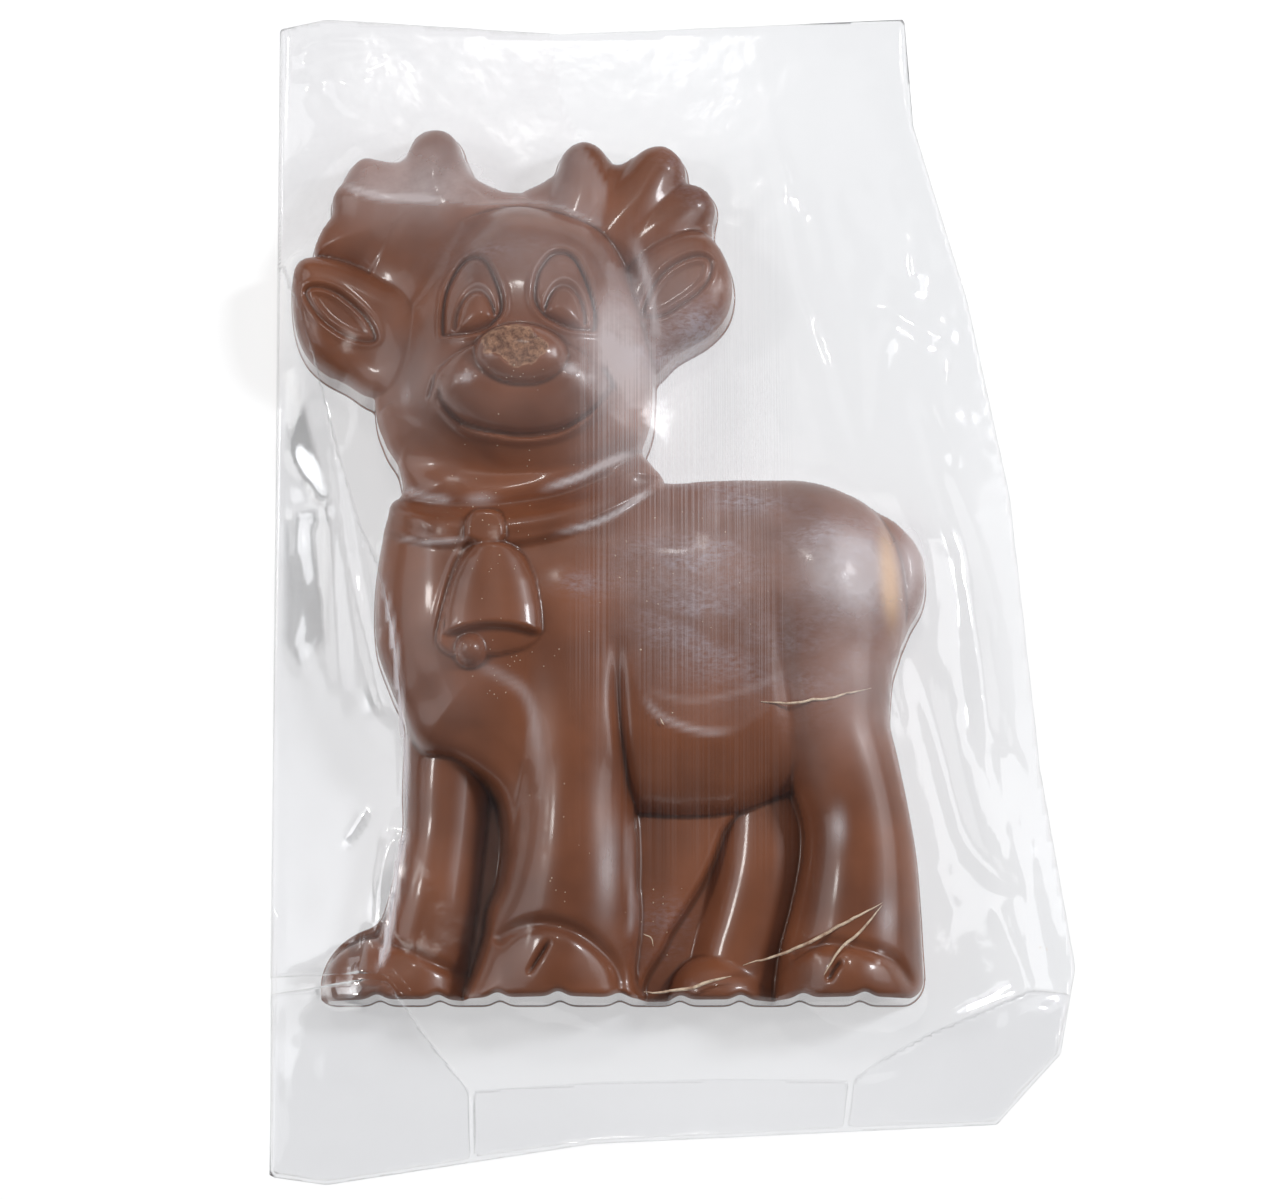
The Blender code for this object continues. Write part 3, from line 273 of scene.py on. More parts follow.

# Soft glare painted on the film as white haze, standing for highlights: centre, radii, turn in degrees,
# strength
GLARE = [
    ((-10.5, 39.0), (6.0, 11.0), 5, 0.50),
    ((33.0, 0.4), (8.5, 8.0), 0, 0.55),
    ((-47.0, 74.0), (15.0, 8.0), 0, 0.24),
    ((44.8, 1.8), (3.0, 10.0), 0, 0.42),
    ((6.0, 0.0), (13.0, 12.0), 0, 0.10),
    ((15.0, 12.0), (16.0, 7.0), 0, 0.08),
    ((-27.0, 33.0), (16.0, 9.0), 0, 0.08),
    ((-41.0, -19.0), (8.0, 9.0), 0, 0.08),
    ((-35.1, 12.7), (2.4, 1.0), 0, 0.30),
    ((-48.9, 32.9), (0.8, 1.8), 0, 0.25),
    ((-37.3, 34.1), (1.0, 0.8), 0, 0.60),
    ((-18.4, 35.5), (1.2, 0.9), 0, 0.60),
    ((-14.9, 34.4), (0.8, 0.8), 0, 0.25),
    ((-11.7, -54.6), (1.6, 7.0), -3, 0.40),
    # painted shade: a faint haze that dims the table seen through the top of the bag
    ((-15.0, 98.0), (30.0, 12.0), 0, 0.04),
    ((30.3, -47.0), (1.2, 3.0), 0, 0.45),
    ((38.9, -63.5), (1.4, 3.5), 0, 0.35),
    ((34.1, 0.0), (2.2, 3.0), 0, 0.95),
    ((-26.5, 58.0), (14.0, 10.0), 0, 0.14),
    ((34.0, -20.0), (9.0, 13.0), 0, 0.20),
    ((2.0, 45.0), (9.0, 8.0), 0, 0.12),
    ((2.0, 57.0), (8.0, 7.0), 0, 0.10),
    ((-48.0, 33.0), (7.0, 10.0), 0, 0.12),
    ((-9.0, 22.0), (9.0, 6.0), 25, 0.14),
]

# Painted highlights: faint bright lines laid on the film as white haze where it lies on the figure: line,
# strength, half width
HIGHLIGHT_LINES = [
    ([(-63.0, 75.4), (-58.6, 73.6), (-53.9, 72.2), (-45.4, 71.4), (-42.0, 70.2)], 0.45, 0.7),
    ([(-39.4, 69.0), (-31.8, 69.6), (-26.3, 69.6), (-20.7, 68.6), (-17.0, 66.9), (-11.0, 63.8)], 0.22, 0.8),
    ([(-5.8, -22.4), (-2.2, -26.9), (5.1, -29.7), (12.3, -29.7)], 0.28, 0.6),
    ([(-6.5, -21.4), (3.0, -24.0), (14.0, -22.0), (24.0, -17.0)], 0.10, 0.6),
    ([(-53.8, 2.4), (-50.9, -11.3), (-49.4, -25.3), (-48.5, -35.0), (-48.3, -45.7)], 0.7, 0.4),
    ([(-48.3, -45.7), (-49.8, -52.0), (-51.8, -66.5), (-53.5, -73.0)], 0.9, 0.5),
    ([(-25.0, 14.0), (-17.5, 16.6), (-12.5, 19.2), (-6.0, 22.2)], 0.50, 0.6),
    ([(-23.0, 6.0), (-15.5, 8.0), (-10.5, 10.2), (-6.5, 13.0), (-3.0, 15.4)], 0.50, 0.5),
    ([(-51.5, 6.5), (-46.0, 5.4), (-42.0, 5.0), (-36.8, 5.1)], 0.35, 0.45),
    ([(-50.5, 16.2), (-45.0, 13.7), (-39.5, 12.4)], 0.40, 0.7),
    ([(-46.0, 8.0), (-44.5, 4.0), (-44.8, -4.0)], 0.10, 0.6),
    ([(-36.8, -18.0), (-32.5, -19.0), (-27.0, -22.5), (-24.8, -29.0), (-23.3, -44.0)], 0.22, 1.0),
    ([(-7.6, 65.0), (-5.0, 57.0), (-3.2, 48.5), (-2.6, 40.5)], 0.30, 0.9),
    ([(-8.0, -43.0), (-7.8, -55.0), (-7.2, -62.0), (-8.0, -68.0)], 0.25, 0.6),
]

# Where the film beside the figure mirrors little: centre, radii, turn in degrees, strength
CALM = [
    ((-2.0, 33.0), (8.0, 12.0), 0, 1.0),
    ((-20.0, 95.0), (42.0, 17.0), 0, 1.0),
    ((-66.0, -38.0), (12.0, 22.0), 0, 0.9),
    ((10.0, -96.0), (40.0, 10.0), 0, 0.5),
    ((64.0, -5.0), (6.0, 30.0), 10, 0.7),
]

# Flat facets of the left fold that mirror a window: outline and how much more they mirror
GLEAMS = [
    ([(-72.9, 40.5), (-70.9, 40.5), (-64.0, 14.8), (-67.0, 16.3), (-71.9, 25.4)], 5.0),
    ([(-72.4, 13.3), (-64.0, 14.4), (-63.6, 4.9), (-64.5, -10.2), (-69.4, -14.9), (-72.2, -10.2)], 3.0),
    ([(-55.9, -19.7), (-53.3, -23.8), (-57.0, -24.6)], 3.0),
    ([(-61.0, -49.0), (-55.9, -42.0), (-56.7, -44.7), (-60.0, -49.6)], 3.0),
    ([(-54.8, -56.6), (-50.7, -52.2), (-49.9, -59.4), (-53.5, -66.6), (-56.0, -61.3)], 2.0),
    ([(-59.0, -67.0), (-55.5, -67.0), (-57.0, -79.0), (-59.5, -79.0)], 3.0),
    ([(-69.7, -75.8), (-61.3, -73.9), (-51.9, -75.8), (-61.3, -77.1)], 3.0),
]

# Narrow creases of the film: line, height of the crest, half width
CREASES = [
    ([(15.6, 108.6), (17.5, 97.8), (21.7, 76.2), (25.0, 56.8), (29.1, 46.1), (33.7, 29.8), (37.7, 14.5)],
     0.9, 1.3),
    ([(19.3, 88.0), (22.7, 76.2), (26.8, 71.3), (29.4, 56.8)], 0.7, 1.1),
    ([(45.7, 73.0), (47.4, 56.0)], 0.9, 1.3),
    ([(38.0, 55.4), (45.1, 50.9), (53.0, 47.0)], 0.9, 1.3),
    ([(52.1, 80.0), (52.8, 49.0), (53.4, 20.0)], 0.6, 1.3),
    ([(45.5, 38.0), (51.3, 16.0), (54.9, 4.6), (56.6, -10.5), (58.3, -25.5), (60.5, -45.0)], 1.3, 2.2),
    ([(47.3, 36.4), (50.6, 29.6), (53.8, 21.4)], 0.9, 1.2),
    ([(43.0, -10.0), (49.0, -29.1), (53.5, -45.9), (58.9, -53.4), (66.0, -58.6)], 1.3, 2.3),
    ([(42.9, 53.5), (39.4, 42.8), (38.6, 35.1), (37.7, 22.5)], 0.9, 1.6),
    ([(59.1, -58.0), (62.6, -67.1), (66.5, -77.4)], 0.9, 1.4),
    ([(72.8, -75.5), (66.1, -75.3), (57.9, -79.0), (46.8, -83.6), (38.4, -88.2), (33.3, -91.7)], 0.9, 1.6),
    ([(33.3, -91.7), (32.3, -103.0)], 0.7, 1.2),
    ([(31.8, -91.5), (47.7, -88.6)], 0.7, 1.2),
    ([(-56.6, -70.4), (-51.6, -74.4), (-44.5, -84.5), (-35.1, -95.9)], 1.0, 1.6),
    ([(-37.1, -90.9), (-37.0, -108.7)], 0.7, 1.2),
    ([(-73.3, -102.0), (-53.7, -99.5), (-35.1, -98.0)], 0.7, 1.4),
    ([(-73.0, 27.0), (-64.3, 14.9)], 0.9, 1.6),
    ([(-74.5, 13.7), (-61.0, 14.1)], 0.9, 1.6),
    ([(-64.4, 16.7), (-62.3, -6.3), (-60.9, -23.5)], 0.9, 1.6),
    ([(-64.7, 35.0), (-59.9, 5.0), (-54.2, -20.0), (-50.9, -28.0)], 0.7, 0.9),
    ([(-74.1, 102.3), (-65.2, 105.3), (-48.8, 105.3)], 0.9, 1.3),
    ([(-67.1, 100.3), (-48.8, 103.3)], 0.8, 1.2),
    ([(-75.1, 97.0), (-59.4, 99.3), (-45.0, 104.3)], 0.8, 1.3),
    ([(-65.1, 99.4), (-61.2, 92.4), (-52.5, 87.5)], 0.8, 1.3),
    ([(-23.0, 108.0), (-21.9, 99.3), (-21.0, 90.4)], 0.4, 1.2),
    ([(-65.0, 77.0), (-58.6, 74.0), (-53.9, 72.4), (-49.2, 71.8), (-43.4, 71.8)], 0.5, 1.2),
    ([(-55.4, 8.4), (-51.5, -9.0)], 0.8, 1.0),
    ([(-60.5, -48.6), (-55.9, -42.1)], 0.8, 1.0),
    ([(-54.1, -59.9), (-51.6, -49.7), (-49.4, -47.5)], 0.9, 1.0),
    ([(-57.9, -76.4), (-56.5, -69.1), (-55.3, -62.6)], 1.0, 1.0),
    ([(-71.6, -72.6), (-64.9, -72.1), (-59.4, -72.2), (-51.6, -74.4)], 0.8, 1.2),
    ([(-71.4, -99.1), (-37.1, -93.8), (-13.2, -92.4), (9.0, -91.8), (32.9, -91.6), (68.0, -90.9)],
     0.35, 1.3),
    ([(-28.0, -77.1), (-5.8, -84.5), (16.3, -88.2)], 0.5, 1.4),
    ([(-5.8, -22.4), (-2.2, -26.9), (5.1, -29.7), (12.3, -29.7), (19.6, -24.2)], 0.4, 0.9),
    ([(41.0, 8.9), (42.3, 3.3), (42.8, -4.2), (41.8, -11.7), (39.3, -22.8)], 0.6, 0.9),
    ([(39.2, -13.0), (39.8, -20.0), (42.6, -29.0)], 0.7, 1.0),
    ([(-49.0, -21.0), (-49.4, -45.0)], 0.7, 0.8),
    ([(-52.3, -43.0), (-55.0, -78.0)], 0.7, 0.8),
    ([(-39.4, 69.0), (-31.8, 69.6), (-26.3, 69.6), (-20.7, 68.6), (-17.0, 66.9), (-11.0, 63.8)], 0.35, 1.2),
]

# Folded parts of the bag that lie on its upper film: name, outline, height of their crumples
LAYERS = [
    ("side_fold", [(-74.2, 66.0), (-73.3, 61.7), (-69.9, 53.4), (-66.0, 40.9), (-62.0, 25.0), (-57.5, 10.0),
                   (-53.8, 2.4), (-50.9, -11.3), (-49.4, -25.3), (-48.5, -35.0), (-48.3, -45.7),
                   (-49.8, -52.0), (-51.8, -66.5), (-53.5, -73.1), (-74.4, -73.0), (-74.6, 0.0)], 1.1),
    ("corner_fold", [(-74.3, -76.0), (-56.0, -74.0), (-51.6, -74.4), (-44.5, -84.5), (-37.1, -93.9),
                     (-37.0, -106.2), (-63.5, -110.3), (-73.4, -108.8)], 2.2),
    ("right_corner_fold", [(73.9, -75.8), (66.1, -75.3), (57.9, -79.0), (46.8, -83.6), (38.4, -88.2),
                           (33.3, -91.7), (32.3, -100.5), (59.7, -99.4), (71.4, -86.6)], 2.2),
    ("seal", [(-36.4, -93.9), (-13.2, -92.4), (9.0, -91.8), (32.5, -92.0), (31.6, -100.6), (-14.5, -102.9),
              (-36.4, -105.8)], 0.8),
]

# Where the film is crumpled: centre, radii, turn in degrees, height of the crumples
CRUMPLED = [
    ((-60.0, 97.0), (18.0, 16.0), 0, 2.2),
    ((-66.0, 30.0), (9.0, 40.0), 0, 1.1),
    ((-58.0, -80.0), (16.0, 18.0), 0, 2.0),
    ((-56.0, 70.0), (9.0, 5.0), 30, 1.2),
    ((52.0, 45.0), (9.0, 20.0), 10, 1.0),
    ((55.0, -85.0), (16.0, 10.0), 0, 1.4),
    ((0.0, -88.0), (30.0, 8.0), 0, 0.8),
]
# Where it lies in long narrow pleats: centre, radii, turn in degrees, height of the pleats
PLEATED = [
    ((52.0, 30.0), (12.0, 60.0), 10, 1.6),
    ((60.0, -45.0), (12.0, 40.0), 10, 1.7),
    ((22.0, 65.0), (12.0, 45.0), 10, 0.9),
    ((-66.0, 5.0), (8.0, 40.0), 0, 0.9),
    ((-50.0, -60.0), (8.0, 20.0), 0, 0.8),
]
PLEAT_LEAN = 12.0  # how far the pleats lean from the Y axis towards +X at their lower end, in degrees
SLACK = 0.22  # crumples everywhere else
RIM_CALM = 6.0  # width of the strip along the bag's rim where folds and crumples fade in
# Facets of the crumples and pleats: share, size in the plan, seed of the random heights, length by width
FACETS = [(0.9, 10.0, 31, 1.9), (0.14, 3.6, 47, 1.5)]
PLEATS = [(0.7, 4.6, 51, 9.0), (0.3, 2.2, 52, 8.0)]
PLEAT_SHARE = 0.6

SAG = 0.002  # how much the film sinks, for each pass and square millimetre of the grid
FILM_HALF_X, FILM_HALF_Y = 80.0, 116.0  # half sides of the grid on which the film is pulled
PULLS = [(8, 200), (4, 200), (2, 200), (1, 160)]  # grid step in millimetres, and how many passes

LAYER_GAP = 0.25  # between the upper film and a fold lying on it
LAYER_THICK = 0.2  # of such a fold, before it is crumpled
# How hollow a place is sets the painted shade in the chocolate's narrow hollows.
CAVITY_REACH = 0.8  # half side of the square that tells how hollow a place is

# Shavings of chocolate caught under the film: line in the plan, radius in the middle
SHAVINGS = [
    ([(16.1, -24.3), (22.0, -24.4), (29.0, -23.5), (36.4, -21.5)], 0.26),
    ([(-5.2, -76.6), (2.0, -76.0), (6.0, -74.8), (10.8, -73.6)], 0.34),
    ([(13.0, -71.6), (22.0, -69.0), (31.0, -64.5), (38.2, -60.6)], 0.32),
    ([(27.6, -73.6), (30.5, -69.0), (34.0, -66.0), (38.2, -61.0)], 0.28),
    ([(-5.0, -66.0), (-4.0, -66.8), (-3.4, -68.4)], 0.12),
    ([(-2.2, -27.4), (-1.2, -28.4)], 0.13),
]
# Crumbs of chocolate: centre, radii of the patch, how many
CRUMBS = [
    ((-33.0, 8.0), (12.0, 14.0), 45),
    ((-30.0, -18.0), (10.0, 9.0), 25),
    ((0.0, 0.0), (18.0, 22.0), 30),
    ((-27.0, 34.0), (6.0, 2.0), 10),
    ((-25.0, 24.0), (12.0, 12.0), 14),
    ((-2.0, -62.0), (8.0, 8.0), 12),
    ((69.0, -67.5), (0.8, 0.6), 2),
    ((-20.0, -50.0), (12.0, 20.0), 16),
]
CRUMB_SMALLEST, CRUMB_SPREAD = 0.09, 0.14  # smallest radius, and how much larger a crumb can be

# Colours
SHAVING_TAN = (0.86, 0.68, 0.50, 1.0)
# Painted reflection: the warm amber light beside the tail
REFLECTED_AMBER = (0.92, 0.56, 0.23, 1.0)
# Painted shade: the dark brown that narrow hollows of the chocolate are mixed towards
CREVICE_SHADE = (0.075, 0.024, 0.011, 1.0)
CHOCOLATE_DEEP = (0.180, 0.056, 0.023, 1.0)
CHOCOLATE_WARM = (0.285, 0.093, 0.038, 1.0)
# Grey of the bloom, and of the painted halo around the rump's highlight
BLOOM_AND_HALO_GREY = (0.50, 0.46, 0.52, 1.0)
CHIP_DARK = (0.14, 0.052, 0.025, 1.0)
CHIP_LIGHT = (0.56, 0.30, 0.17, 1.0)
# White of the film's haze, which also carries the painted glare and highlights
HAZE_AND_GLARE_WHITE = (0.97, 0.91, 0.93, 1.0)
WHITE = (1.0, 1.0, 1.0, 1.0)
ROOM_WHITE = (0.95, 0.97, 1.0, 1.0)

# Finish of the chocolate: how rough it is, and how much more or less so in smears, in bloom, where it is
# broken, on its wall and on its base
CHOCOLATE_ROUGHNESS, SMEARED, FROSTED, BROKEN = 0.34, 0.08, 0.15, 0.5
WALL_GLOSS, BASE_GLOSS = 0.24, 0.05
COAT_ON_FRONT, COAT_ON_WALL, COAT_ROUGHNESS = 0.4, 0.6, 0.11  # the wall's coat is added to the front's
# Sizes of its patterns, in waves for each metre
CLOUD_WAVES, SMEAR_WAVES, GRAIN_WAVES, PORE_WAVES = 55.0, 120.0, 1100.0, 420.0
FROST_WAVES, DUST_WAVES = (620.0, 1300.0, 900.0), (90.0, 190.0, 140.0)

# Finish of the film: tint of the light that passes, even haze, and how much it mirrors when faced
CLEAR_FILM = ((0.942, 0.944, 0.949, 1.0), 0.005, 0.05)
FOLDED_FILM = ((0.993, 0.993, 0.995, 1.0), 0.010, 0.025)
MIRROR_POWER, MIRROR_SHARE = 4.5, 0.8  # how fast and how far the mirroring grows with a flatter look
FILM_ROUGHNESS, TIGHT_ROUGHNESS = 0.10, 0.06  # and what is added where it is pulled tight
SCRATCH_HAZE = 0.15
# Sizes of its patterns, in waves for each metre
SCRATCH_WAVES, BREAK_WAVES = (4600.0, 9.0, 9.0), (40.0, 55.0, 30.0)
GLARE_WAVES, RIPPLE_WAVES = 110.0, 130.0

# Stage
TABLE_WHITE = 0.55
TABLE_GLOW = 0.62
TABLE_HALF = 3.0  # half of its side, in metres
ROOM_LIGHT = 0.12
CAMERA_X = -5.8
CAMERA_ELEVATION = 81.0
CAMERA_DISTANCE = 800.0
CAMERA_LENS, CAMERA_SENSOR = 119.7, 36.0

# Lights: name, azimuth from +X, tilt from straight above, distance, width and height, brightness, colour
SOFT_BOXES = [
    ("right_window", 19.0, 47.0, 1.0, (0.13, 0.16), 60.0, (0.95, 0.97, 1.0)),
    ("right_wall", 8.0, 60.0, 1.0, (0.5, 0.5), 2.6, (0.97, 0.98, 1.0)),
    ("top_lamp", 95.0, 24.0, 1.0, (0.055, 0.055), 82.0, (1.0, 0.98, 0.94)),
    ("ceiling", 92.0, 46.0, 1.2, (1.3, 0.95), 0.39, (1.0, 1.0, 1.0)),
    ("left_window", 168.0, 44.0, 1.0, (0.08, 0.10), 52.0, (1.0, 0.98, 0.95)),
    ("left_wall", 172.0, 58.0, 1.0, (0.8, 0.6), 1.7, (0.97, 0.98, 1.0)),
    ("front_fill", 255.0, 48.0, 1.1, (1.0, 0.7), 0.10, (1.0, 0.99, 0.97)),
]

# The flat rim of the bag: mouth at the top, sealed tail at the bottom
BAG = [(-75.0, 109.0), (-66.0, 111.0), (-21.0, 108.0), (45.0, 111.0), (46.5, 90.0), (56.5, 55.5),
       (64.0, 18.0), (69.0, -34.0), (75.0, -71.0), (72.0, -87.0), (60.0, -100.0), (-14.5, -103.5),
       (-63.5, -111.0), (-74.0, -109.5)]


def soft_max(a, b, blend):
    """The higher of two surfaces, with their corner filled where they differ by less than blend."""
    return np.maximum(a, b) + np.clip(blend - np.abs(a - b), 0.0, None) ** 2 / (4.0 * blend)


def curve(points, closed=False, steps=6):
    """A smooth curve through the points (Catmull-Rom), with that many steps between each two."""
    p = np.array(points, float)
    if closed:
        q = np.concatenate([p[-1:], p, p[:2]])
    else:
        q = np.concatenate([2 * p[:1] - p[1:2], p, 2 * p[-1:] - p[-2:-1]])
    t = (np.arange(steps) / steps)[None, :, None]
    a, b, c, d = [q[k : len(q) - 3 + k, None, :] for k in range(4)]
    bend = 2 * b + (c - a) * t + (2 * a - 5 * b + 4 * c - d) * t**2 + (3 * b - a - 3 * c + d) * t**3
    line = 0.5 * bend.reshape(-1, p.shape[1])
    return line if closed else np.concatenate([line, p[-1:]])


def line_distance(x, y, line):
    """How far each point of the plan is from a line, and how far along it that is, from 0 to 1."""
    nearest = np.full(x.shape, np.inf)
    along = np.zeros(x.shape)
    count = len(line) - 1
    for i in range(count):
        ax, ay = line[i][:2]
        dx, dy = line[i + 1][0] - ax, line[i + 1][1] - ay
        t = np.clip(((x - ax) * dx + (y - ay) * dy) / max(dx * dx + dy * dy, 1e-9), 0.0, 1.0)
        square = (x - ax - t * dx) ** 2 + (y - ay - t * dy) ** 2
        closer = square < nearest
        nearest = np.where(closer, square, nearest)
        along = np.where(closer, (i + t) / count, along)
    return np.sqrt(nearest), along


def depth_inside(x, y, loop):
    """How deep each point of the plan lies inside a closed outline; outside it is negative."""
    ring = np.concatenate([loop, loop[:1]])
    distance, _ = line_distance(x, y, ring)
    odd = np.zeros(x.shape, bool)
    for (ax, ay), (bx, by) in zip(ring[:-1], ring[1:]):
        if ay != by:
            odd ^= ((ay > y) != (by > y)) & (x < (bx - ax) * (y - ay) / (by - ay) + ax)
    return np.where(odd, distance, -distance)


def shifted(points, aside, above):
    return [(px + aside, py + above) for px, py in points]


def quarter_round(t):
    """Rises from 0 to 1 like the quarter of a circle as t goes from 0 to 1."""
    return np.sqrt(1.0 - (1.0 - np.clip(t, 0.0, 1.0)) ** 2)


def smooth_step(t):
    """Rises smoothly from 0 to 1 as t goes from 0 to 1."""
    t = np.clip(t, 0.0, 1.0)
    return t * t * (3.0 - 2.0 * t)


def hill(distance, width):
    """A bell-shaped hill: 1 at distance 0, and nearly 0 from twice the width on."""
    return np.exp(-((distance / width) ** 2))


class Relief:
    """The figure's front over the points x, y: its height, top, and the depth in its outline, edge."""

    def __init__(self, x, y):
        self.x, self.y = x, y
        self.top = np.full(x.shape, -99.0)
        self.edge = np.full(x.shape, -99.0)

    def add(self, top, edge, blend):
        self.top = soft_max(self.top, top, blend)
        self.edge = soft_max(self.edge, edge, 1.0)

    def inside(self, outline):
        """How deep each point lies inside the smooth curve through an outline's points."""
        return depth_inside(self.x, self.y, curve(outline, closed=True))

    def slab(self, outline, rim, crown, rounding, blend, widens=True):
        """A raised shape: a steep wall up to rim at its outline, then a quarter round up to crown."""
        s = self.inside(outline)
        top = np.where(s < 0, rim + STEEP * s, rim + (crown - rim) * quarter_round(s / rounding))
        if widens:
            self.add(top, s, blend)
        else:
            self.top = soft_max(self.top, top, blend)

    def limb(self, balls, blend):
        """A rounded limb: the upper side of balls whose place, height and radius change along a curve."""
        line = curve(balls, steps=10)
        distance, along = line_distance(self.x, self.y, line)
        steps = np.linspace(0.0, 1.0, len(line))
        height = np.interp(along, steps, line[:, 2])
        radius = np.interp(along, steps, line[:, 3])
        ball = height + np.sqrt(np.clip(radius**2 - distance**2, 0.0, None))
        wall = height - STEEP * (distance - radius)
        self.add(np.where(distance > radius, wall, ball), radius - distance, blend)

    def ellipse(self, at, radii, turn=0.0):
        """Distance from a centre, counted as 1 on an ellipse with these radii, turned by degrees."""
        a = np.radians(turn)
        u = (self.x - at[0]) * np.cos(a) + (self.y - at[1]) * np.sin(a)
        v = (self.y - at[1]) * np.cos(a) - (self.x - at[0]) * np.sin(a)
        return np.sqrt((u / radii[0]) ** 2 + (v / radii[1]) ** 2)

    def dome(self, at, radii, base, crown, blend, turn=0.0):
        """Half of an egg standing on the height base, with a steep wall around it."""
        q = self.ellipse(at, radii, turn)
        egg = base + (crown - base) * np.sqrt(np.clip(1.0 - q * q, 0.0, 1.0))
        wall = base - STEEP * (q - 1.0) * min(radii)
        self.top = soft_max(self.top, np.where(q > 1.0, wall, egg), blend)

    def bump(self, at, radii, height, turn=0.0):
        """A soft swelling added to what is there."""
        self.top = self.top + height * hill(self.ellipse(at, radii, turn), 1.0)

    def groove(self, points, depth, width, fade):
        """A rounded groove along a line, fading out over that share of it at each end.

        A negative depth makes a ridge.
        """
        distance, along = line_distance(self.x, self.y, curve(points))
        ends = np.sin(0.5 * np.pi * np.clip(np.minimum(along, 1.0 - along) / fade, 0.0, 1.0))
        self.top = self.top - depth * ends * hill(distance, width)


def add_trunk(front):
    front.slab(TRUNK, TRUNK_RIM, TRUNK_CROWN, rounding=16.0, blend=CRISP)
    for at, radii, height in TRUNK_SWELLINGS:
        front.bump(at, radii, height)
    front.slab(TAIL, TAIL_RIM, TAIL_CROWN, rounding=4.0, blend=CRISP)


def add_legs(front):
    front.slab(WEB, WEB_HEIGHT - 0.5, WEB_HEIGHT, rounding=2.0, blend=1.0)
    front.slab(PLATE, PLATE_HEIGHT - 1.0, PLATE_HEIGHT, rounding=1.5, blend=0.6)
    front.limb(FAR_FRONT_LIMB, blend=1.5)
    front.limb(FAR_REAR_LIMB, blend=2.5)
    front.limb(NEAR_REAR_LIMB, blend=2.0)
    front.slab(FRONT_LEG, FRONT_LEG_RIM, FRONT_LEG_CROWN, rounding=7.0, blend=0.8)
    front.limb(NEAR_FRONT_LIMB, blend=3.0)


def add_hooves(front):
    """A crease over each hoof, a cleft in the near ones, and a dome for each far one."""
    for at, radii, height, turn in HOOF_SWELLINGS:
        front.bump(at, radii, height, turn)
    front.dome((-50.5, -73.5), (13.5, 9.5), base=4.0, crown=12.5, turn=-12, blend=1.5)
    toe_size = 9.5
    toe = toe_size * (1.0 - front.ellipse((-51.5, -73.0), (12.5, 11.0)))
    front.edge = soft_max(front.edge, toe, 2.0)
    front.dome((8.5, -75.0), (9.0, 8.0), base=5.0, crown=12.0, turn=-14, blend=1.0)
    for crease, depth in ((NEAR_FRONT_HOOF, 1.3), (NEAR_REAR_HOOF, 1.2), (FAR_FRONT_HOOF, 1.0)):
        front.groove(crease, depth, width=depth, fade=0.1)
    for cleft in (NEAR_FRONT_CLEFT, NEAR_REAR_CLEFT):
        front.groove(cleft, depth=1.4, width=0.5, fade=0.35)


def add_neck(front):
    front.slab(NECK, NECK_RIM, NECK_CROWN, rounding=13.0, blend=3.0)


def add_antlers(front):
    """The left antler is one broad smooth palm, and the right one has rounded ridges with deep valleys."""
    front.slab(LEFT_ANTLER, ANTLER_RIM, ANTLER_CROWN + 1.5, rounding=9.0, blend=1.0)
    front.slab(RIGHT_ANTLER, ANTLER_RIM - 1.5, ANTLER_CROWN + 0.6, rounding=12.0, blend=1.0)
    for tine in LEFT_TINES:
        front.limb(tine, blend=4.0)
    for tine in RIGHT_TINES:
        front.limb(tine, blend=2.2)


def add_ears(front):
    for ear in (LEFT_EAR, RIGHT_EAR):
        front.slab(ear, EAR_RIM, EAR_CROWN, rounding=5.0, blend=0.8)


def cut_ear_hollows(front):
    """Each ear's inside is a shallow field with a groove along its border."""
    for hollow in (LEFT_EAR_HOLLOW, RIGHT_EAR_HOLLOW):
        s = front.inside(hollow)
        groove = EAR_GROOVE * (hill(s, 0.45) - 0.35 * hill(s + 0.9, 0.5) - 0.25 * hill(s - 1.0, 0.4))
        field = EAR_FIELD * np.clip(s / 1.5, 0.0, 1.0)
        front.top = front.top - groove - field


def add_head(front):
    """The head rises like a quarter round from the right ear, and in a gentle slope from the left one."""
    s = front.inside(HEAD)
    left = smooth_step((HEAD_MIDDLE - front.x) / 12.0)
    round_side = quarter_round(s / HEAD_ROUNDING)
    slope = smooth_step((s + SOFT_LEFT) / (SOFT_LEFT + HEAD_SLOPE))
    rise = (1.0 - left) * round_side + left * slope
    outside = s + left * SOFT_LEFT
    foot = HEAD_RIM + left * (HEAD_FOOT - HEAD_RIM)
    top = foot + np.where(outside < 0, STEEP * outside, (HEAD_CROWN - foot) * rise)
    front.add(top, s, 1.2 + 5.0 * left)
    front.bump(FOREHEAD, FOREHEAD_RADII, FOREHEAD_RISE)


def add_muzzle(front):
    """One rounded form under the nose, bounded below by the smile, with the nose as a dome on it."""
    s = front.inside(MUZZLE)
    front.top = front.top + MUZZLE_STEP * quarter_round(s / 4.0)
    for at, radii, height in MUZZLE_SWELLINGS:
        front.bump(at, radii, height)
    front.dome(NOSE, NOSE_RADII, base=NOSE_TOP - 5.0, crown=NOSE_TOP, turn=-4, blend=1.0)
    front.groove(SMILE, depth=1.6, width=0.5, fade=0.06)
    front.groove(shifted(SMILE, 0.0, -1.1), depth=-0.8, width=0.55, fade=0.15)
    for dimple in (LEFT_DIMPLE, RIGHT_DIMPLE):
        front.groove(dimple, depth=0.8, width=0.45, fade=0.3)
        front.groove(shifted(dimple, 1.0, 0.0), depth=-0.5, width=0.5, fade=0.3)


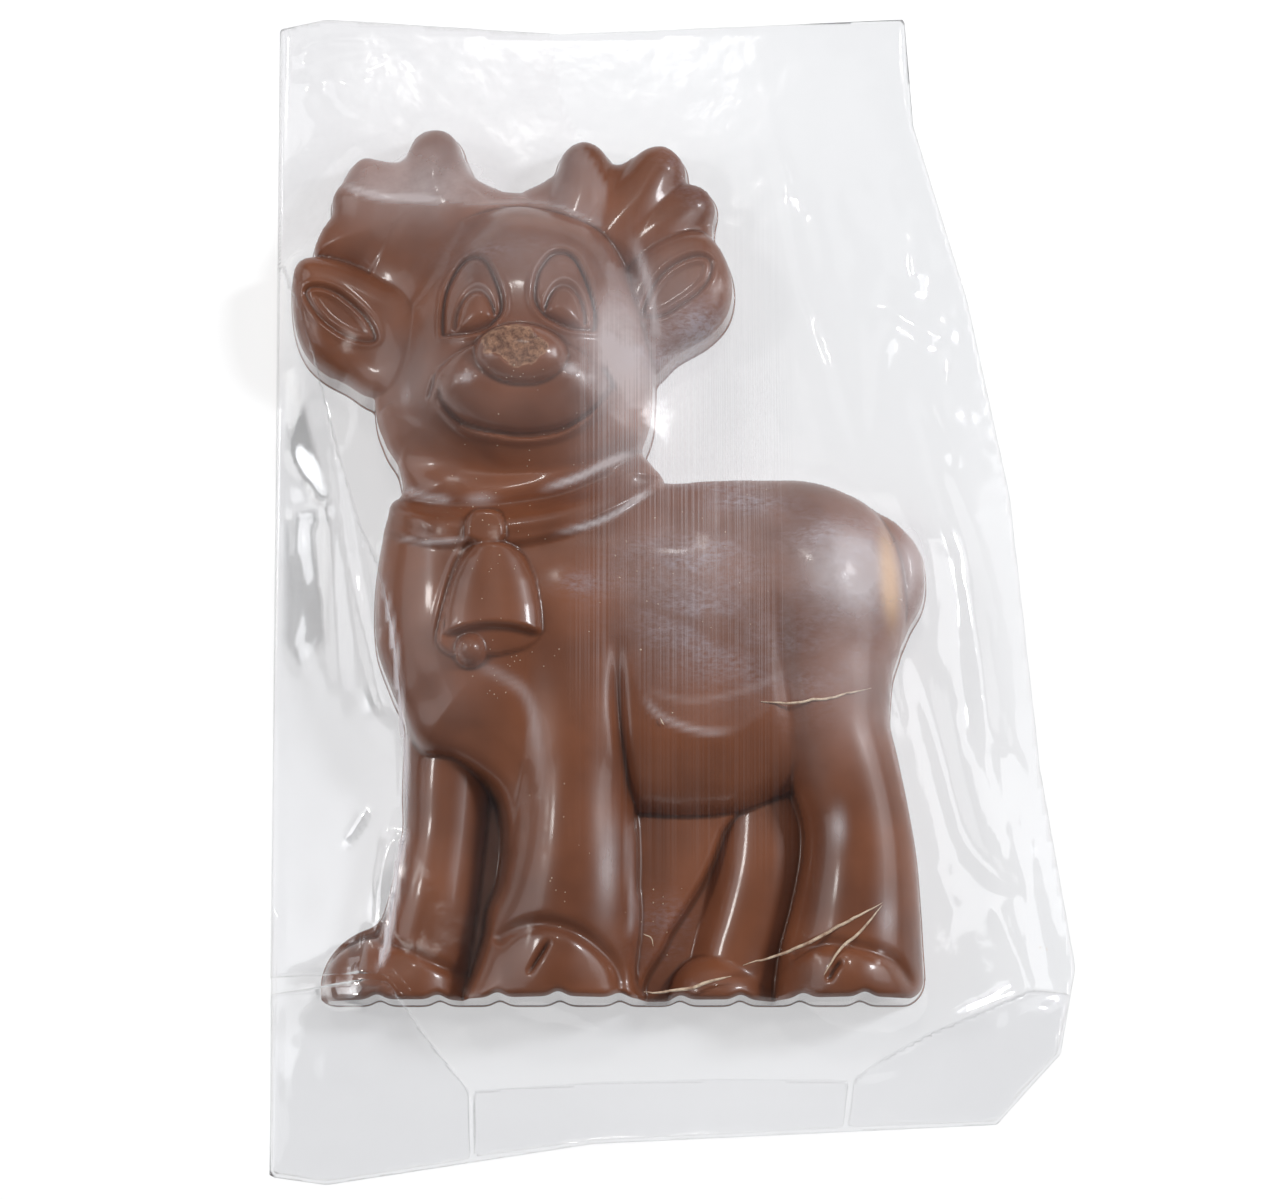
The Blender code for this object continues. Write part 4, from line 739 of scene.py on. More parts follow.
def add_eyes(front):
    """Each eye is a sunk field with a groove along its border, and its pupil an egg in a groove."""
    for eye, pupil in ((LEFT_EYE, LEFT_PUPIL), (RIGHT_EYE, RIGHT_PUPIL)):
        s = front.inside(eye)
        field = EYE_FIELD * np.clip(s / 0.7, 0.0, 1.0)
        groove = EYE_GROOVE * hill(s - 0.4, 0.36)
        lip = EYE_LIP * hill(s + 0.45, 0.45)
        front.top = front.top - field - groove + lip
        p = np.minimum(PUPIL_RADII[0] * (1.0 - front.ellipse(pupil, PUPIL_RADII)), s - 0.8)
        groove = PUPIL_GROOVE * (hill(p, 0.38) - 0.4 * hill(p + 0.8, 0.4))
        rise = PUPIL_RISE * quarter_round((p - 0.3) / 3.6)
        front.top = front.top + rise - groove * smooth_step((s - 0.8) / 0.8)


def add_collar(front):
    """A band between two lines, the neck's rolled end above it and a thin lip along its lower edge."""
    band = depth_inside(front.x, front.y, np.concatenate([curve(COLLAR_TOP), curve(COLLAR_LOW)[::-1]]))
    front.top = front.top + COLLAR_STEP * np.clip(band / 1.2 + 0.5, 0.0, 1.0)
    for line, above, depth, width in COLLAR_GROOVES:
        front.groove(shifted(line, 0.0, above), depth, width, fade=0.02)


def add_bell(front):
    """A bell seen from the side: half round across, wider towards its mouth, with the clapper below."""
    s = front.inside(BELL)
    levels, half_widths = zip(*BELL_PROFILE)
    aside = front.x - BELL_MIDDLE
    across = 1.0 - np.abs(aside / np.interp(front.y, levels, half_widths)) ** 2.2
    mouth = BELL_MOUTH - 0.02 * aside**2
    dip = 2.2 * smooth_step((mouth - front.y) / 1.5) + 0.25 * np.clip(mouth - front.y, 0.0, None)
    slope = 0.05 * (front.y - mouth)
    crown = np.maximum((BELL_CROWN - BELL_RIM) * np.sqrt(np.clip(across, 0.0, 1.0)) - dip - slope, 0.2)
    top = np.where(s < 0, BELL_RIM + STEEP * s, BELL_RIM + crown * quarter_round(s / 1.2))
    front.top = soft_max(front.top, top, 0.4)
    trace = np.minimum(smooth_step((-28.0 - front.x) / 8.0), smooth_step((front.y + 12.0) / 6.0))
    front.top = front.top + 0.35 * trace * hill(s + 1.1, 0.35)
    front.slab(KNOT, BELL_RIM - 1.0, BELL_RIM + 2.6, rounding=1.2, blend=0.4, widens=False)
    front.dome(CLAPPER, CLAPPER_RADII, base=BELL_RIM - 2.0, crown=BELL_RIM + 2.9, blend=0.4)


def add_creases(front):
    front.groove(SHOULDER_CREASE, depth=2.0, width=1.2, fade=0.35)
    front.groove(THIGH_CREASE, depth=1.6, width=2.0, fade=0.4)


def cut_base(front):
    """The straight base: the legs end in one line, with shallow notches along it and a round corner."""
    half = NOTCH_PITCH / 2
    step = (front.x - NOTCH_AT + half) % NOTCH_PITCH - half
    base = front.y - BASE_LINE - NOTCH_DEPTH * hill(step, NOTCH_WIDTH)
    corner_y = BASE_LINE + BASE_CORNER - 0.2
    in_corner = (front.x > BASE_CORNER_X) & (front.y < corner_y)
    round_off = BASE_CORNER - np.hypot(front.x - BASE_CORNER_X, front.y - corner_y)
    front.edge = np.minimum(front.edge, np.where(in_corner, np.minimum(base, round_off), base))


def round_rim(front):
    t = np.clip(front.edge / RIM_ROUNDING, 0.0, 1.0)
    front.top = front.top - RIM_ROUNDING * (1.0 - quarter_round(t))


def reindeer_front(x, y):
    """The finished front over the points x, y of the plan."""
    front = Relief(x, y)
    for shape in (add_trunk, add_legs, add_hooves, add_neck, add_antlers, add_ears, add_head, add_muzzle,
                  add_eyes, cut_ear_hollows, add_collar, add_bell, add_creases, cut_base, round_rim):
        shape(front)
    return front


def to_contour(fronts, x, y, level, reach):
    """Points moved to where the depth inside the outline equals level, by at most reach along each axis."""
    nudge = 0.05  # step for the slope
    for _ in range(3):
        depth = fronts(x, y).edge - level
        slope_x = (fronts(x + nudge, y).edge - fronts(x - nudge, y).edge) / (2 * nudge)
        slope_y = (fronts(x, y + nudge).edge - fronts(x, y - nudge).edge) / (2 * nudge)
        square = np.clip(slope_x**2 + slope_y**2, 0.2, None)
        x = x - np.clip(depth * slope_x / square, -reach, reach)
        y = y - np.clip(depth * slope_y / square, -reach, reach)
    return x, y


def grid_cells(edge):
    """The grid's cells whose middle lies inside the outline, with one added where two meet at a corner."""
    cells = (edge[:-1, :-1] + edge[1:, :-1] + edge[:-1, 1:] + edge[1:, 1:]) > 0
    for _ in range(4):
        a, b, c, d = cells[:-1, :-1], cells[:-1, 1:], cells[1:, :-1], cells[1:, 1:]
        rising, falling = a & d & ~b & ~c, b & c & ~a & ~d
        cells[:-1, 1:] |= rising
        cells[:-1, :-1] |= falling
    return cells


def cloud(x, y, size, seed):
    """Soft noise from -1 to 1: random heights on a square lattice of that size, joined by smooth steps."""
    lattice = np.random.default_rng(seed).uniform(-1.0, 1.0, (64, 64))
    u, v = x / size, y / size
    i, j = np.floor(u).astype(int), np.floor(v).astype(int)
    s, t = smooth_step(u - i), smooth_step(v - j)
    i, j = i % 64, j % 64
    i1, j1 = (i + 1) % 64, (j + 1) % 64
    low = lattice[i, j] * (1 - s) + lattice[i1, j] * s
    high = lattice[i, j1] * (1 - s) + lattice[i1, j1] * s
    return low * (1 - t) + high * t


def crumple(x, y, size, seed, stretch=1.0):
    """Crumpled film from -1 to 1: flat triangles between random heights on a bent lattice of that size."""
    heights = np.random.default_rng(seed).uniform(-1.0, 1.0, (64, 64))
    flips = np.random.default_rng(seed + 9).uniform(0.0, 1.0, (64, 64)) > 0.5
    u = x / size + 0.45 * cloud(x, y, 1.7 * size, seed + 1)
    v = y / (size * stretch) + 0.45 * cloud(x, y, 1.7 * size, seed + 2)
    i, j = np.floor(u).astype(int), np.floor(v).astype(int)
    s, t = u - i, v - j
    i, j = i % 64, j % 64
    i1, j1 = (i + 1) % 64, (j + 1) % 64
    a, b, c, d = heights[i, j], heights[i1, j], heights[i, j1], heights[i1, j1]
    rising = np.where(s + t < 1.0, a + s * (b - a) + t * (c - a), d + (1 - s) * (c - d) + (1 - t) * (b - d))
    falling = np.where(s > t, a + s * (b - a) + t * (d - b), a + t * (c - a) + s * (d - c))
    return np.where(flips[i, j], rising, falling)


def patches(x, y, table, power=1.0):
    """A sum of soft ovals of a table: centre, radii, turn in degrees, strength.

    A high power flattens the middle of each oval and makes its border steeper.
    """
    total = np.zeros(x.shape)
    for (at_x, at_y), (wide, high), turn, weight in table:
        a = np.radians(turn)
        u = ((x - at_x) * np.cos(a) + (y - at_y) * np.sin(a)) / wide
        v = ((y - at_y) * np.cos(a) - (x - at_x) * np.sin(a)) / high
        total = total + weight * np.exp(-((u * u + v * v) ** power))
    return total


def bilinear(grid, xs, ys, x, y):
    """Heights of a grid with even steps, read between its points."""
    u = np.clip((x - xs[0]) / (xs[1] - xs[0]), 0.0, len(xs) - 1.001)
    v = np.clip((y - ys[0]) / (ys[1] - ys[0]), 0.0, len(ys) - 1.001)
    i, j = u.astype(int), v.astype(int)
    s, t = u - i, v - j
    near = grid[j, i] * (1 - s) + grid[j, i + 1] * s
    far = grid[j + 1, i] * (1 - s) + grid[j + 1, i + 1] * s
    return near * (1 - t) + far * t


# Meshes

def cavity(top, pitch):
    """How far each point of a grid lies below the mean of the square around it, in millimetres."""
    reach = round(CAVITY_REACH / pitch)
    total = np.zeros(top.shape)
    for step in range(-reach, reach + 1):
        total = total + np.roll(top, step, 0)
    square = np.zeros(top.shape)
    for step in range(-reach, reach + 1):
        square = square + np.roll(total, step, 1)
    return square / (2 * reach + 1) ** 2 - top


def cut_grid(front, box, pitch):
    """A square grid cut along an outline: its points, its cells as rows of four, and its border points.

    The cells are those whose middle lies inside, and the border points are moved onto the outline.
    """
    xs = np.arange(box[0], box[2] + pitch, pitch)
    ys = np.arange(box[1], box[3] + pitch, pitch)
    x, y = np.meshgrid(xs, ys)
    whole = front(x, y)
    rows, columns = np.nonzero(grid_cells(whole.edge))
    corner = rows * len(xs) + columns
    quads = np.stack([corner, corner + 1, corner + len(xs) + 1, corner + len(xs)], axis=1)
    used, index = np.unique(quads, return_inverse=True)
    quads = index.reshape(-1, 4)
    px, py, pz = x.ravel()[used], y.ravel()[used], whole.top.ravel()[used]
    # how hollow each point is, which the chocolate's finish paints as shade
    hollow = cavity(whole.top, pitch).ravel()[used]
    border = np.nonzero(np.bincount(quads.ravel(), minlength=len(used)) < 4)[0]
    px[border], py[border] = to_contour(front, px[border], py[border], 0.0, 0.8 * pitch)
    pz[border] = front(px[border], py[border]).top
    hollow[border] = 0.0
    return px, py, pz, quads, border, hollow


def border_edges(quads, count):
    """The directed edges of the cells that no neighbouring cell shares, each with its cell on the left."""
    edges = np.concatenate([quads[:, [0, 1]], quads[:, [1, 2]], quads[:, [2, 3]], quads[:, [3, 0]]])
    forward = edges[:, 0] * count + edges[:, 1]
    backward = edges[:, 1] * count + edges[:, 0]
    return edges[~np.isin(forward, backward)]


def mesh_of(name, points, quads, marks=None):
    """A smooth-shaded mesh of points in millimetres and rows of four, with named values for each point."""
    data = bpy.data.meshes.new(name)
    data.from_pydata(points * MM, [], quads)
    for mark, values in (marks or {}).items():
        data.attributes.new(mark, "FLOAT", "POINT").data.foreach_set("value", values.astype(np.float32))
    data.shade_smooth()
    return data


def close_below(data, rings):
    """Fills the one open loop under a mesh with a flat floor, and makes the edges along each ring sharp."""
    ring_of = np.full(len(data.vertices), -1)
    for number, ring in enumerate(rings):
        ring_of[ring[0]] = number
    ends = np.empty(2 * len(data.edges), np.int32)
    data.edges.foreach_get("vertices", ends)
    first, second = ring_of[ends[::2]], ring_of[ends[1::2]]
    sharp = data.attributes.new("sharp_edge", "BOOLEAN", "EDGE")
    sharp.data.foreach_set("value", (first == second) & (first >= 0))
    mesh = bmesh.new()
    mesh.from_mesh(data)
    floor = bmesh.ops.holes_fill(mesh, edges=mesh.edges)["faces"]
    for face in floor:
        face.smooth = False
    bmesh.ops.triangulate(mesh, faces=floor)
    mesh.to_mesh(data)
    mesh.free()


def add_piece(name, data, finish, node=None):
    """Puts a mesh into the scene as a piece of the object, standing for a node if one is named."""
    data.materials.append(finish)
    piece = bpy.data.objects.new(name, data)
    bpy.context.scene.collection.objects.link(piece)
    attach(piece, "root")
    if node:
        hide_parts(node)


# The chocolate figure

def broken_nose(x, y):
    """Where the top of the nose is broken off, from 0 to 1, and the height of the rough face there."""
    flat = Relief(x, y)
    ragged = 0.28 * cloud(x, y, 2.4, 11) + 0.12 * cloud(x, y, 0.9, 12)
    inside = 1.0 - flat.ellipse(CHIP, CHIP_RADII, turn=-8) + ragged
    rough = 0.55 * crumple(x, y, 2.3, 13) + 0.40 * crumple(x, y, 1.1, 14)
    tilted = 0.10 * (x - CHIP[0]) - 0.16 * (y - CHIP[1])
    return smooth_step(inside / 0.12), NOSE_TOP - CHIP_DEPTH + rough + tilted


def figure_front(x, y):
    front = reindeer_front(x, y)
    share, broken = broken_nose(x, y)
    front.top = np.where(share > 0, np.minimum(front.top, broken), front.top)
    front.top = np.maximum(front.top, LOWEST_FRONT)
    return front


def make_figure(finish):
    """The front over its grid, and the wall around it: down, out over a thin ledge, down to the back."""
    x, y, z, quads, border, hollow = cut_grid(figure_front, FIGURE_BOX, FIGURE_PITCH)
    rings = [(border, x[border], y[border], z[border])]
    total = len(x)
    for number, (level, height) in enumerate(WALL):
        ring_x, ring_y = to_contour(figure_front, x[border], y[border], level, 0.8 * FIGURE_PITCH)
        ring_z = np.maximum(z[border] - height, WALL[1][1]) if number == 0 else np.full(len(border), height)
        rings.append((total + np.arange(len(border)), ring_x, ring_y, ring_z))
        total += len(border)
    edges = border_edges(quads, len(x))
    place = np.full(len(x), -1)
    place[border] = np.arange(len(border))
    start, end = place[edges[:, 0]], place[edges[:, 1]]
    faces = [quads]
    for upper, lower in zip(rings, rings[1:]):
        faces.append(np.stack([upper[0][end], upper[0][start], lower[0][start], lower[0][end]], axis=1))
    all_x = np.concatenate([x] + [ring[1] for ring in rings[1:]])
    all_y = np.concatenate([y] + [ring[2] for ring in rings[1:]])
    all_z = np.concatenate([z] + [ring[3] for ring in rings[1:]])
    points = np.stack([all_x, all_y + FIGURE_Y, all_z + FIGURE_Z], axis=1)
    marks = {
        # grey bloom, and on the rump a painted halo around its highlight
        "bloom_and_halo": np.clip(patches(all_x, all_y, BLOOM_AND_HALO), 0.0, 2.0),
        # where the amber reflection beside the tail is painted
        "amber_reflection": np.clip(patches(all_x, all_y, AMBER_REFLECTION, 1.5), 0.0, 1.0),
        "chip": broken_nose(all_x, all_y)[0],
        # how hollow each point is, painted as shade in the finish
        "hollow": np.concatenate([hollow, np.zeros(total - len(x))]),
        "side": np.where(np.arange(total) < len(x), 0.0, 1.0),
        "base": np.where((np.arange(total) >= len(x)) & (all_y < BASE_LINE + 2.5), 1.0, 0.0),
    }
    data = mesh_of("chocolate_reindeer", points, np.concatenate(faces), marks)
    close_below(data, rings)
    add_piece("chocolate_reindeer", data, finish, "reindeer")


# The film

class Film:
    """The film over the figure, pulled tight from the bag's rim over the relief.

    Each pass moves every point to the mean of its four neighbours, but not below what it lies on. The
    passes start on a coarse grid and end on a fine one.
    """

    def __init__(self):
        self.xs = np.arange(-FILM_HALF_X, FILM_HALF_X + 0.1, 1.0)
        self.ys = np.arange(-FILM_HALF_Y, FILM_HALF_Y + 0.1, 1.0)
        x, y = np.meshgrid(self.xs, self.ys)
        relief = reindeer_front(x, y - FIGURE_Y)
        self.depth = relief.edge
        solid = np.where(relief.edge > -1.0, np.maximum(relief.top, 2.0) + FIGURE_Z, 0.0)
        for axis in (0, 1):
            solid = np.maximum(solid, np.maximum(np.roll(solid, 1, axis), np.roll(solid, -1, axis)))
        self.rest = np.maximum(solid + FILM_CLEARANCE, RIM_HEIGHT)
        inside = depth_inside(x, y, np.array(BAG)) > 0
        self.top = self.pull(inside)

    def pull(self, inside):
        film, xs, ys = self.rest, self.xs, self.ys
        for step, passes in PULLS:
            rest, free = self.rest[::step, ::step], inside[::step, ::step]
            film = bilinear(film, xs, ys, *np.meshgrid(self.xs[::step], self.ys[::step]))
            for _ in range(passes):
                beside = np.roll(film, 1, 0) + np.roll(film, -1, 0)
                mean = 0.25 * (beside + np.roll(film, 1, 1) + np.roll(film, -1, 1))
                film = np.where(free, np.maximum(mean - SAG * step * step, rest), RIM_HEIGHT)
            xs, ys = self.xs[::step], self.ys[::step]
        return film

    def height(self, x, y):
        return bilinear(self.top, self.xs, self.ys, x, y)

    def lowest(self, x, y):
        return bilinear(self.rest, self.xs, self.ys, x, y)

    def over_figure(self, x, y):
        """Depth inside the figure's outline, and negative beside it."""
        return bilinear(self.depth, self.xs, self.ys, x, y)


def creases(x, y, table):
    """Rounded narrow ridges along lines, which fade out at their ends."""
    total = np.zeros(x.shape)
    for points, height, width in table:
        distance, along = line_distance(x, y, curve(points))
        ends = smooth_step(np.minimum(along, 1.0 - along) / 0.25)
        total = total + height * ends * hill(distance, width)
    return total


def crumples(x, y, table):
    """The sum of crumpled films of two sizes: share, size, seed, length by width."""
    (big, big_size, big_seed, big_long), (small, small_size, small_seed, small_long) = table
    large = crumple(x, y, big_size, big_seed, big_long)
    return big * large + small * crumple(x, y, small_size, small_seed, small_long)


class BagFront:
    """Upper film of the bag: the tight film with its folds and crumples, and the depth inside its rim."""

    def __init__(self, x, y, film):
        self.edge = depth_inside(x, y, np.array(BAG))
        calm = smooth_step(self.edge / RIM_CALM)
        facets = crumples(x, y, FACETS)
        lean = np.radians(PLEAT_LEAN)
        across, along = x * np.cos(lean) + y * np.sin(lean), y * np.cos(lean) - x * np.sin(lean)
        pleats = crumples(across, along, PLEATS)
        folds = creases(x, y, CREASES) + (patches(x, y, CRUMPLED, 1.5) + SLACK) * facets
        folds = folds + PLEAT_SHARE * patches(x, y, PLEATED, 1.5) * pleats
        self.top = np.maximum(film.height(x, y) + calm * folds, np.maximum(film.lowest(x, y), RIM_HEIGHT))


def lay_film(name, front, lower, film, finish, node=None):
    """A closed flat pouch: an upper and a lower sheet over the same grid, which meet at the border.

    Cells with no point inside the border are left out, because their two sheets would be one.
    """
    x, y, z, quads, border, _ = cut_grid(front, BAG_BOX, FILM_PITCH)
    used, index = np.unique(quads[~np.isin(quads, border).all(axis=1)], return_inverse=True)
    quads, border = index.reshape(-1, 4), np.nonzero(np.isin(used, border))[0]
    x, y, z = x[used], y[used], z[used]
    count = len(x)
    below = np.full(count, -1)
    inner = np.setdiff1d(np.arange(count), border)
    below[border] = border
    below[inner] = count + np.arange(len(inner))
    points = np.concatenate([
        np.stack([x, y, z], axis=1),
        np.stack([x[inner], y[inner], lower(x[inner], y[inner])], axis=1),
    ])
    all_x, all_y = points[:, 0], points[:, 1]
    upper = np.arange(len(points)) < count
    marks = {
        "mirror": mirrored_on(all_x, all_y, film),
        "scratched": scratched_on(all_x, all_y),
        # painted glare, highlight lines and soft reflection, laid on the upper sheet as white haze
        "painted_glare": np.where(upper, painted_glare_on(all_x, all_y), 0.0),
    }
    data = mesh_of(name, points, np.concatenate([quads, below[quads][:, ::-1]]), marks)
    add_piece(name, data, finish, node)


def mirrored_on(x, y, film):
    """How much the film mirrors: 1 where it is loose, 0.1 where it is tight or calm, more on gleams."""
    tight = smooth_step(film.over_figure(x, y) / 3.0 + 0.3)
    gleam = np.zeros(x.shape)
    for outline, strength in GLEAMS:
        depth = depth_inside(x, y, np.array(outline))
        gleam = gleam + strength * smooth_step(depth / 1.0 + 0.5)
    return 1.0 - 0.90 * np.maximum(tight, np.clip(patches(x, y, CALM, 1.5), 0.0, 1.0)) + gleam


def scratched_on(x, y):
    """How much the film is scratched along Y, from 0 to 1: most over the shoulder."""
    across = smooth_step((x + 20.0) / 6.0) * smooth_step((24.0 - x) / 7.0)
    most = smooth_step((y + 28.0) / 16.0) * smooth_step((50.0 - y) / 18.0)
    return across * (0.8 * most + 0.2 * smooth_step((y + 62.0) / 16.0) * smooth_step((80.0 - y) / 20.0))


def painted_glare_on(x, y):
    """How much white haze the film gets where light is painted: crisp-bordered patches of painted soft
    reflection with some haze, soft painted glare, and painted highlight lines.
    """
    total = np.zeros(x.shape)
    for outline, strength in MILKY_HAZE_AND_REFLECTION:
        depth = depth_inside(x, y, np.array(outline))
        total = np.maximum(total, strength * smooth_step(depth / 0.8 + 0.5))
    return total + patches(x, y, GLARE) + creases(x, y, HIGHLIGHT_LINES)


def make_bag(film, clear, thin):
    def upper(x, y):
        return BagFront(x, y, film)

    def lower(x, y):
        """The film under the figure, with low flat wrinkles where nothing presses it down."""
        pressed = np.clip(-film.over_figure(x, y) / 6.0, 0.0, 1.0)
        return FLOOR_FILM + 0.12 * pressed * (1.0 + crumple(x, y, 17.0, 71))

    lay_film("bag_film", upper, lower, film, clear, "bag")
    for name, outline, crumpled in LAYERS:
        def fold(x, y, outline=outline, crumpled=crumpled):
            front = BagFront(x, y, film)
            front.edge = depth_inside(x, y, np.array(outline))
            loose = crumpled * (1.0 + crumple(x, y, 8.0, len(outline), 1.6)) * smooth_step(front.edge / 4.0)
            front.top = front.top + LAYER_GAP + LAYER_THICK + 0.5 * loose
            return front

        def under(x, y):
            return BagFront(x, y, film).top + LAYER_GAP

        lay_film(name, fold, under, film, thin)


# Shavings and crumbs under the film

def tube(line, radius, sides=6):
    """A thin closed tube along a line: a circle whose radius falls to a point at both ends."""
    along = np.linspace(0.0, 1.0, len(line))
    around = 2.0 * np.pi * np.arange(sides) / sides
    ahead = np.gradient(line, axis=0)
    aside = np.stack([-ahead[:, 1], ahead[:, 0], np.zeros(len(line))], axis=1)
    aside = aside / np.linalg.norm(aside, axis=1)[:, None]
    size = radius * np.sin(np.pi * np.clip(along, 0.02, 0.98)) ** 0.6
    up = np.array([0.0, 0.0, 1.0])
    ring = aside[:, None, :] * np.cos(around)[None, :, None] + up * np.sin(around)[None, :, None]
    points = line[:, None, :] + size[:, None, None] * ring
    i = np.arange(len(line) - 1)[:, None] * sides
    j = np.arange(sides)[None, :]
    k = (j + 1) % sides
    quads = np.stack([i + j, i + k, i + sides + k, i + sides + j], axis=2).reshape(-1, 4)
    last = (len(line) - 1) * sides
    caps = [tuple(range(sides - 1, -1, -1)), tuple(range(last, last + sides))]
    return points.reshape(-1, 3), [tuple(quad) for quad in quads.tolist()] + caps


def make_shavings(finish, film):
    points, faces, count = [], [], 0
    for places, radius in SHAVINGS:
        plan = curve(places, steps=8)
        x, y = plan[:, 0], plan[:, 1]
        wavy = 0.25 * cloud(x, y, 1.5, 61)
        height = BagFront(x, y, film).top - radius - 0.03
        ring, made = tube(np.stack([x + wavy, y + wavy, height], axis=1), radius)
        points.append(ring)
        faces += [tuple(count + number for number in face) for face in made]
        count += len(ring)
    data = bpy.data.meshes.new("shavings")
    data.from_pydata(np.concatenate(points) * MM, [], faces)
    data.shade_smooth()
    add_piece("shavings", data, finish)


def make_crumbs(finish):
    """Rough eight-sided crumbs, each half sunk into what it lies on."""
    chance = np.random.default_rng(5)
    where = []
    for (x, y), (wide, high), count in CRUMBS:
        aside, ahead = chance.normal(x, wide / 2, count), chance.normal(y, high / 2, count)
        where.append(np.stack([aside, ahead], axis=1))
    x, y = np.concatenate(where).T
    relief = reindeer_front(x, y - FIGURE_Y)
    z = np.where(relief.edge > 0.3, relief.top + FIGURE_Z, FLOOR_FILM + 0.3)
    corners = np.array([(1, 0, 0), (0, 1, 0), (-1, 0, 0), (0, -1, 0), (0, 0, 1), (0, 0, -1)], float)
    size = CRUMB_SMALLEST + CRUMB_SPREAD * chance.random((len(x), 6, 1)) ** 2
    points = np.stack([x, y, z], axis=1)[:, None, :] + size * corners
    upper = [(0, 1, 4), (1, 2, 4), (2, 3, 4), (3, 0, 4)]
    lower = [(1, 0, 5), (2, 1, 5), (3, 2, 5), (0, 3, 5)]
    sides = np.array(upper + lower)
    faces = (6 * np.arange(len(x))[:, None, None] + sides).reshape(-1, 3)
    data = bpy.data.meshes.new("crumbs")
    data.from_pydata(points.reshape(-1, 3) * MM, [], faces)
    add_piece("crumbs", data, finish)


# Materials

class Nodes:
    """A node tree being filled: add makes a node, and links or sets each of its inputs."""

    def __init__(self, tree):
        self.tree = tree
        self.tree.nodes.clear()

    def add(self, kind, inputs=None, **values):
        node = self.tree.nodes.new("ShaderNode" + kind)
        for key, value in values.items():
            setattr(node, key, value)
        for key, value in (inputs or {}).items():
            if isinstance(value, bpy.types.NodeSocket):
                self.tree.links.new(value, node.inputs[key])
            else:
                node.inputs[key].default_value = value
        return node

    def math(self, operation, a, b=0.0, clamp=False):
        node = self.add("Math", {0: a, 1: b}, operation=operation, use_clamp=clamp)
        return node.outputs[0]

    def times(self, a, b, clamp=False):
        return self.math("MULTIPLY", a, b, clamp)

    def mix(self, share, a, b):
        node = self.add("Mix", {0: share, 6: a, 7: b}, data_type="RGBA")
        return node.outputs[2]

    def ramp(self, value, low, high):
        """0 below low, 1 above high, and even in between."""
        node = self.add("MapRange", {"Value": value, "From Min": low, "From Max": high})
        return node.outputs[0]

    def noise(self, where, scale, detail=2.0, roughness=0.5):
        settings = {"Vector": where, "Scale": scale, "Detail": detail, "Roughness": roughness}
        return self.add("TexNoise", settings).outputs["Fac"]

    def place(self, stretch=(1.0, 1.0, 1.0)):
        """Object coordinates, stretched."""
        here = self.add("TexCoord").outputs["Object"]
        return self.add("Mapping", {"Vector": here, "Scale": stretch}).outputs[0]

    def mark(self, name):
        return self.add("Attribute", attribute_name=name).outputs["Fac"]


def new_material(name):
    made = bpy.data.materials.new(name)
    made.use_nodes = True
    return made, Nodes(made.node_tree)


def chocolate_finish():
    """Milk chocolate: brown in soft clouds, grey bloom in frosty patches with a painted halo around the
    rump's highlight, a painted orange-brown reflection beside the tail, and painted shade in narrow
    hollows.

    Where it is broken it has a matte crumbly face, and its wall and base are glossier than its front.
    """
    made, n = new_material("milk_chocolate")
    here = n.place()
    clouds = n.ramp(n.noise(here, CLOUD_WAVES, 3.0), 0.35, 0.68)
    brown = n.mix(clouds, CHOCOLATE_DEEP, CHOCOLATE_WARM)
    frost = n.ramp(n.noise(n.place(FROST_WAVES), 1.0, 5.0, 0.75), 0.36, 0.66)
    dusty = n.times(frost, n.ramp(n.noise(n.place(DUST_WAVES), 1.0, 3.0), 0.30, 0.64))
    bloom_and_halo = n.times(n.mark("bloom_and_halo"), dusty, clamp=True)
    # Grey bloom, which on the rump also paints the halo around its highlight.
    with_bloom_and_halo = n.mix(n.times(bloom_and_halo, 0.55), brown, BLOOM_AND_HALO_GREY)
    # Painted reflection: a warm amber stripe beside the tail.
    with_reflection = n.mix(n.times(n.mark("amber_reflection"), 0.8), with_bloom_and_halo, REFLECTED_AMBER)
    side = n.mark("side")
    # Painted shade: narrow hollows are mixed towards a dark crevice brown.
    shaded = n.mix(n.times(n.ramp(n.mark("hollow"), 0.03, 0.40), 0.55), with_reflection, CREVICE_SHADE)
    chipped = n.mark("chip")
    grains = n.math("SUBTRACT", n.noise(here, GRAIN_WAVES, 5.0, 0.7), n.times(chipped, 0.25))
    crumbs = n.mix(n.ramp(grains, 0.13, 0.55), CHIP_DARK, CHIP_LIGHT)
    colour = n.mix(n.ramp(chipped, 0.05, 0.35), shaded, crumbs)
    smears = n.ramp(n.noise(here, SMEAR_WAVES, 4.0, 0.6), 0.3, 0.7)
    front = n.math("ADD", n.times(smears, SMEARED), CHOCOLATE_ROUGHNESS)
    frosted = n.math("MINIMUM", n.mark("bloom_and_halo"), 1.0)
    dull = n.math("ADD", n.times(frosted, FROSTED), n.times(chipped, BROKEN))
    even = n.math("SUBTRACT", front, n.times(side, WALL_GLOSS))
    glossy = n.math("SUBTRACT", even, n.times(n.mark("base"), BASE_GLOSS))
    rough = n.math("ADD", glossy, dull, clamp=True)
    pores = n.noise(here, PORE_WAVES, 4.0, 0.6)
    bump = n.add("Bump", {"Height": pores, "Strength": 0.05, "Distance": 0.4 * MM})
    whole = n.math("SUBTRACT", 1.0, n.math("MAXIMUM", chipped, n.times(frosted, 0.6)))
    coat = n.math("ADD", n.times(side, COAT_ON_WALL), COAT_ON_FRONT)
    shader = n.add("BsdfPrincipled", {
        "Base Color": colour,
        "Roughness": rough,
        "Normal": bump.outputs[0],
        "IOR": 1.48,
        "Coat Weight": n.times(whole, coat, clamp=True),
        "Coat Roughness": COAT_ROUGHNESS,
    })
    n.add("OutputMaterial", {"Surface": shader.outputs[0]})
    return made


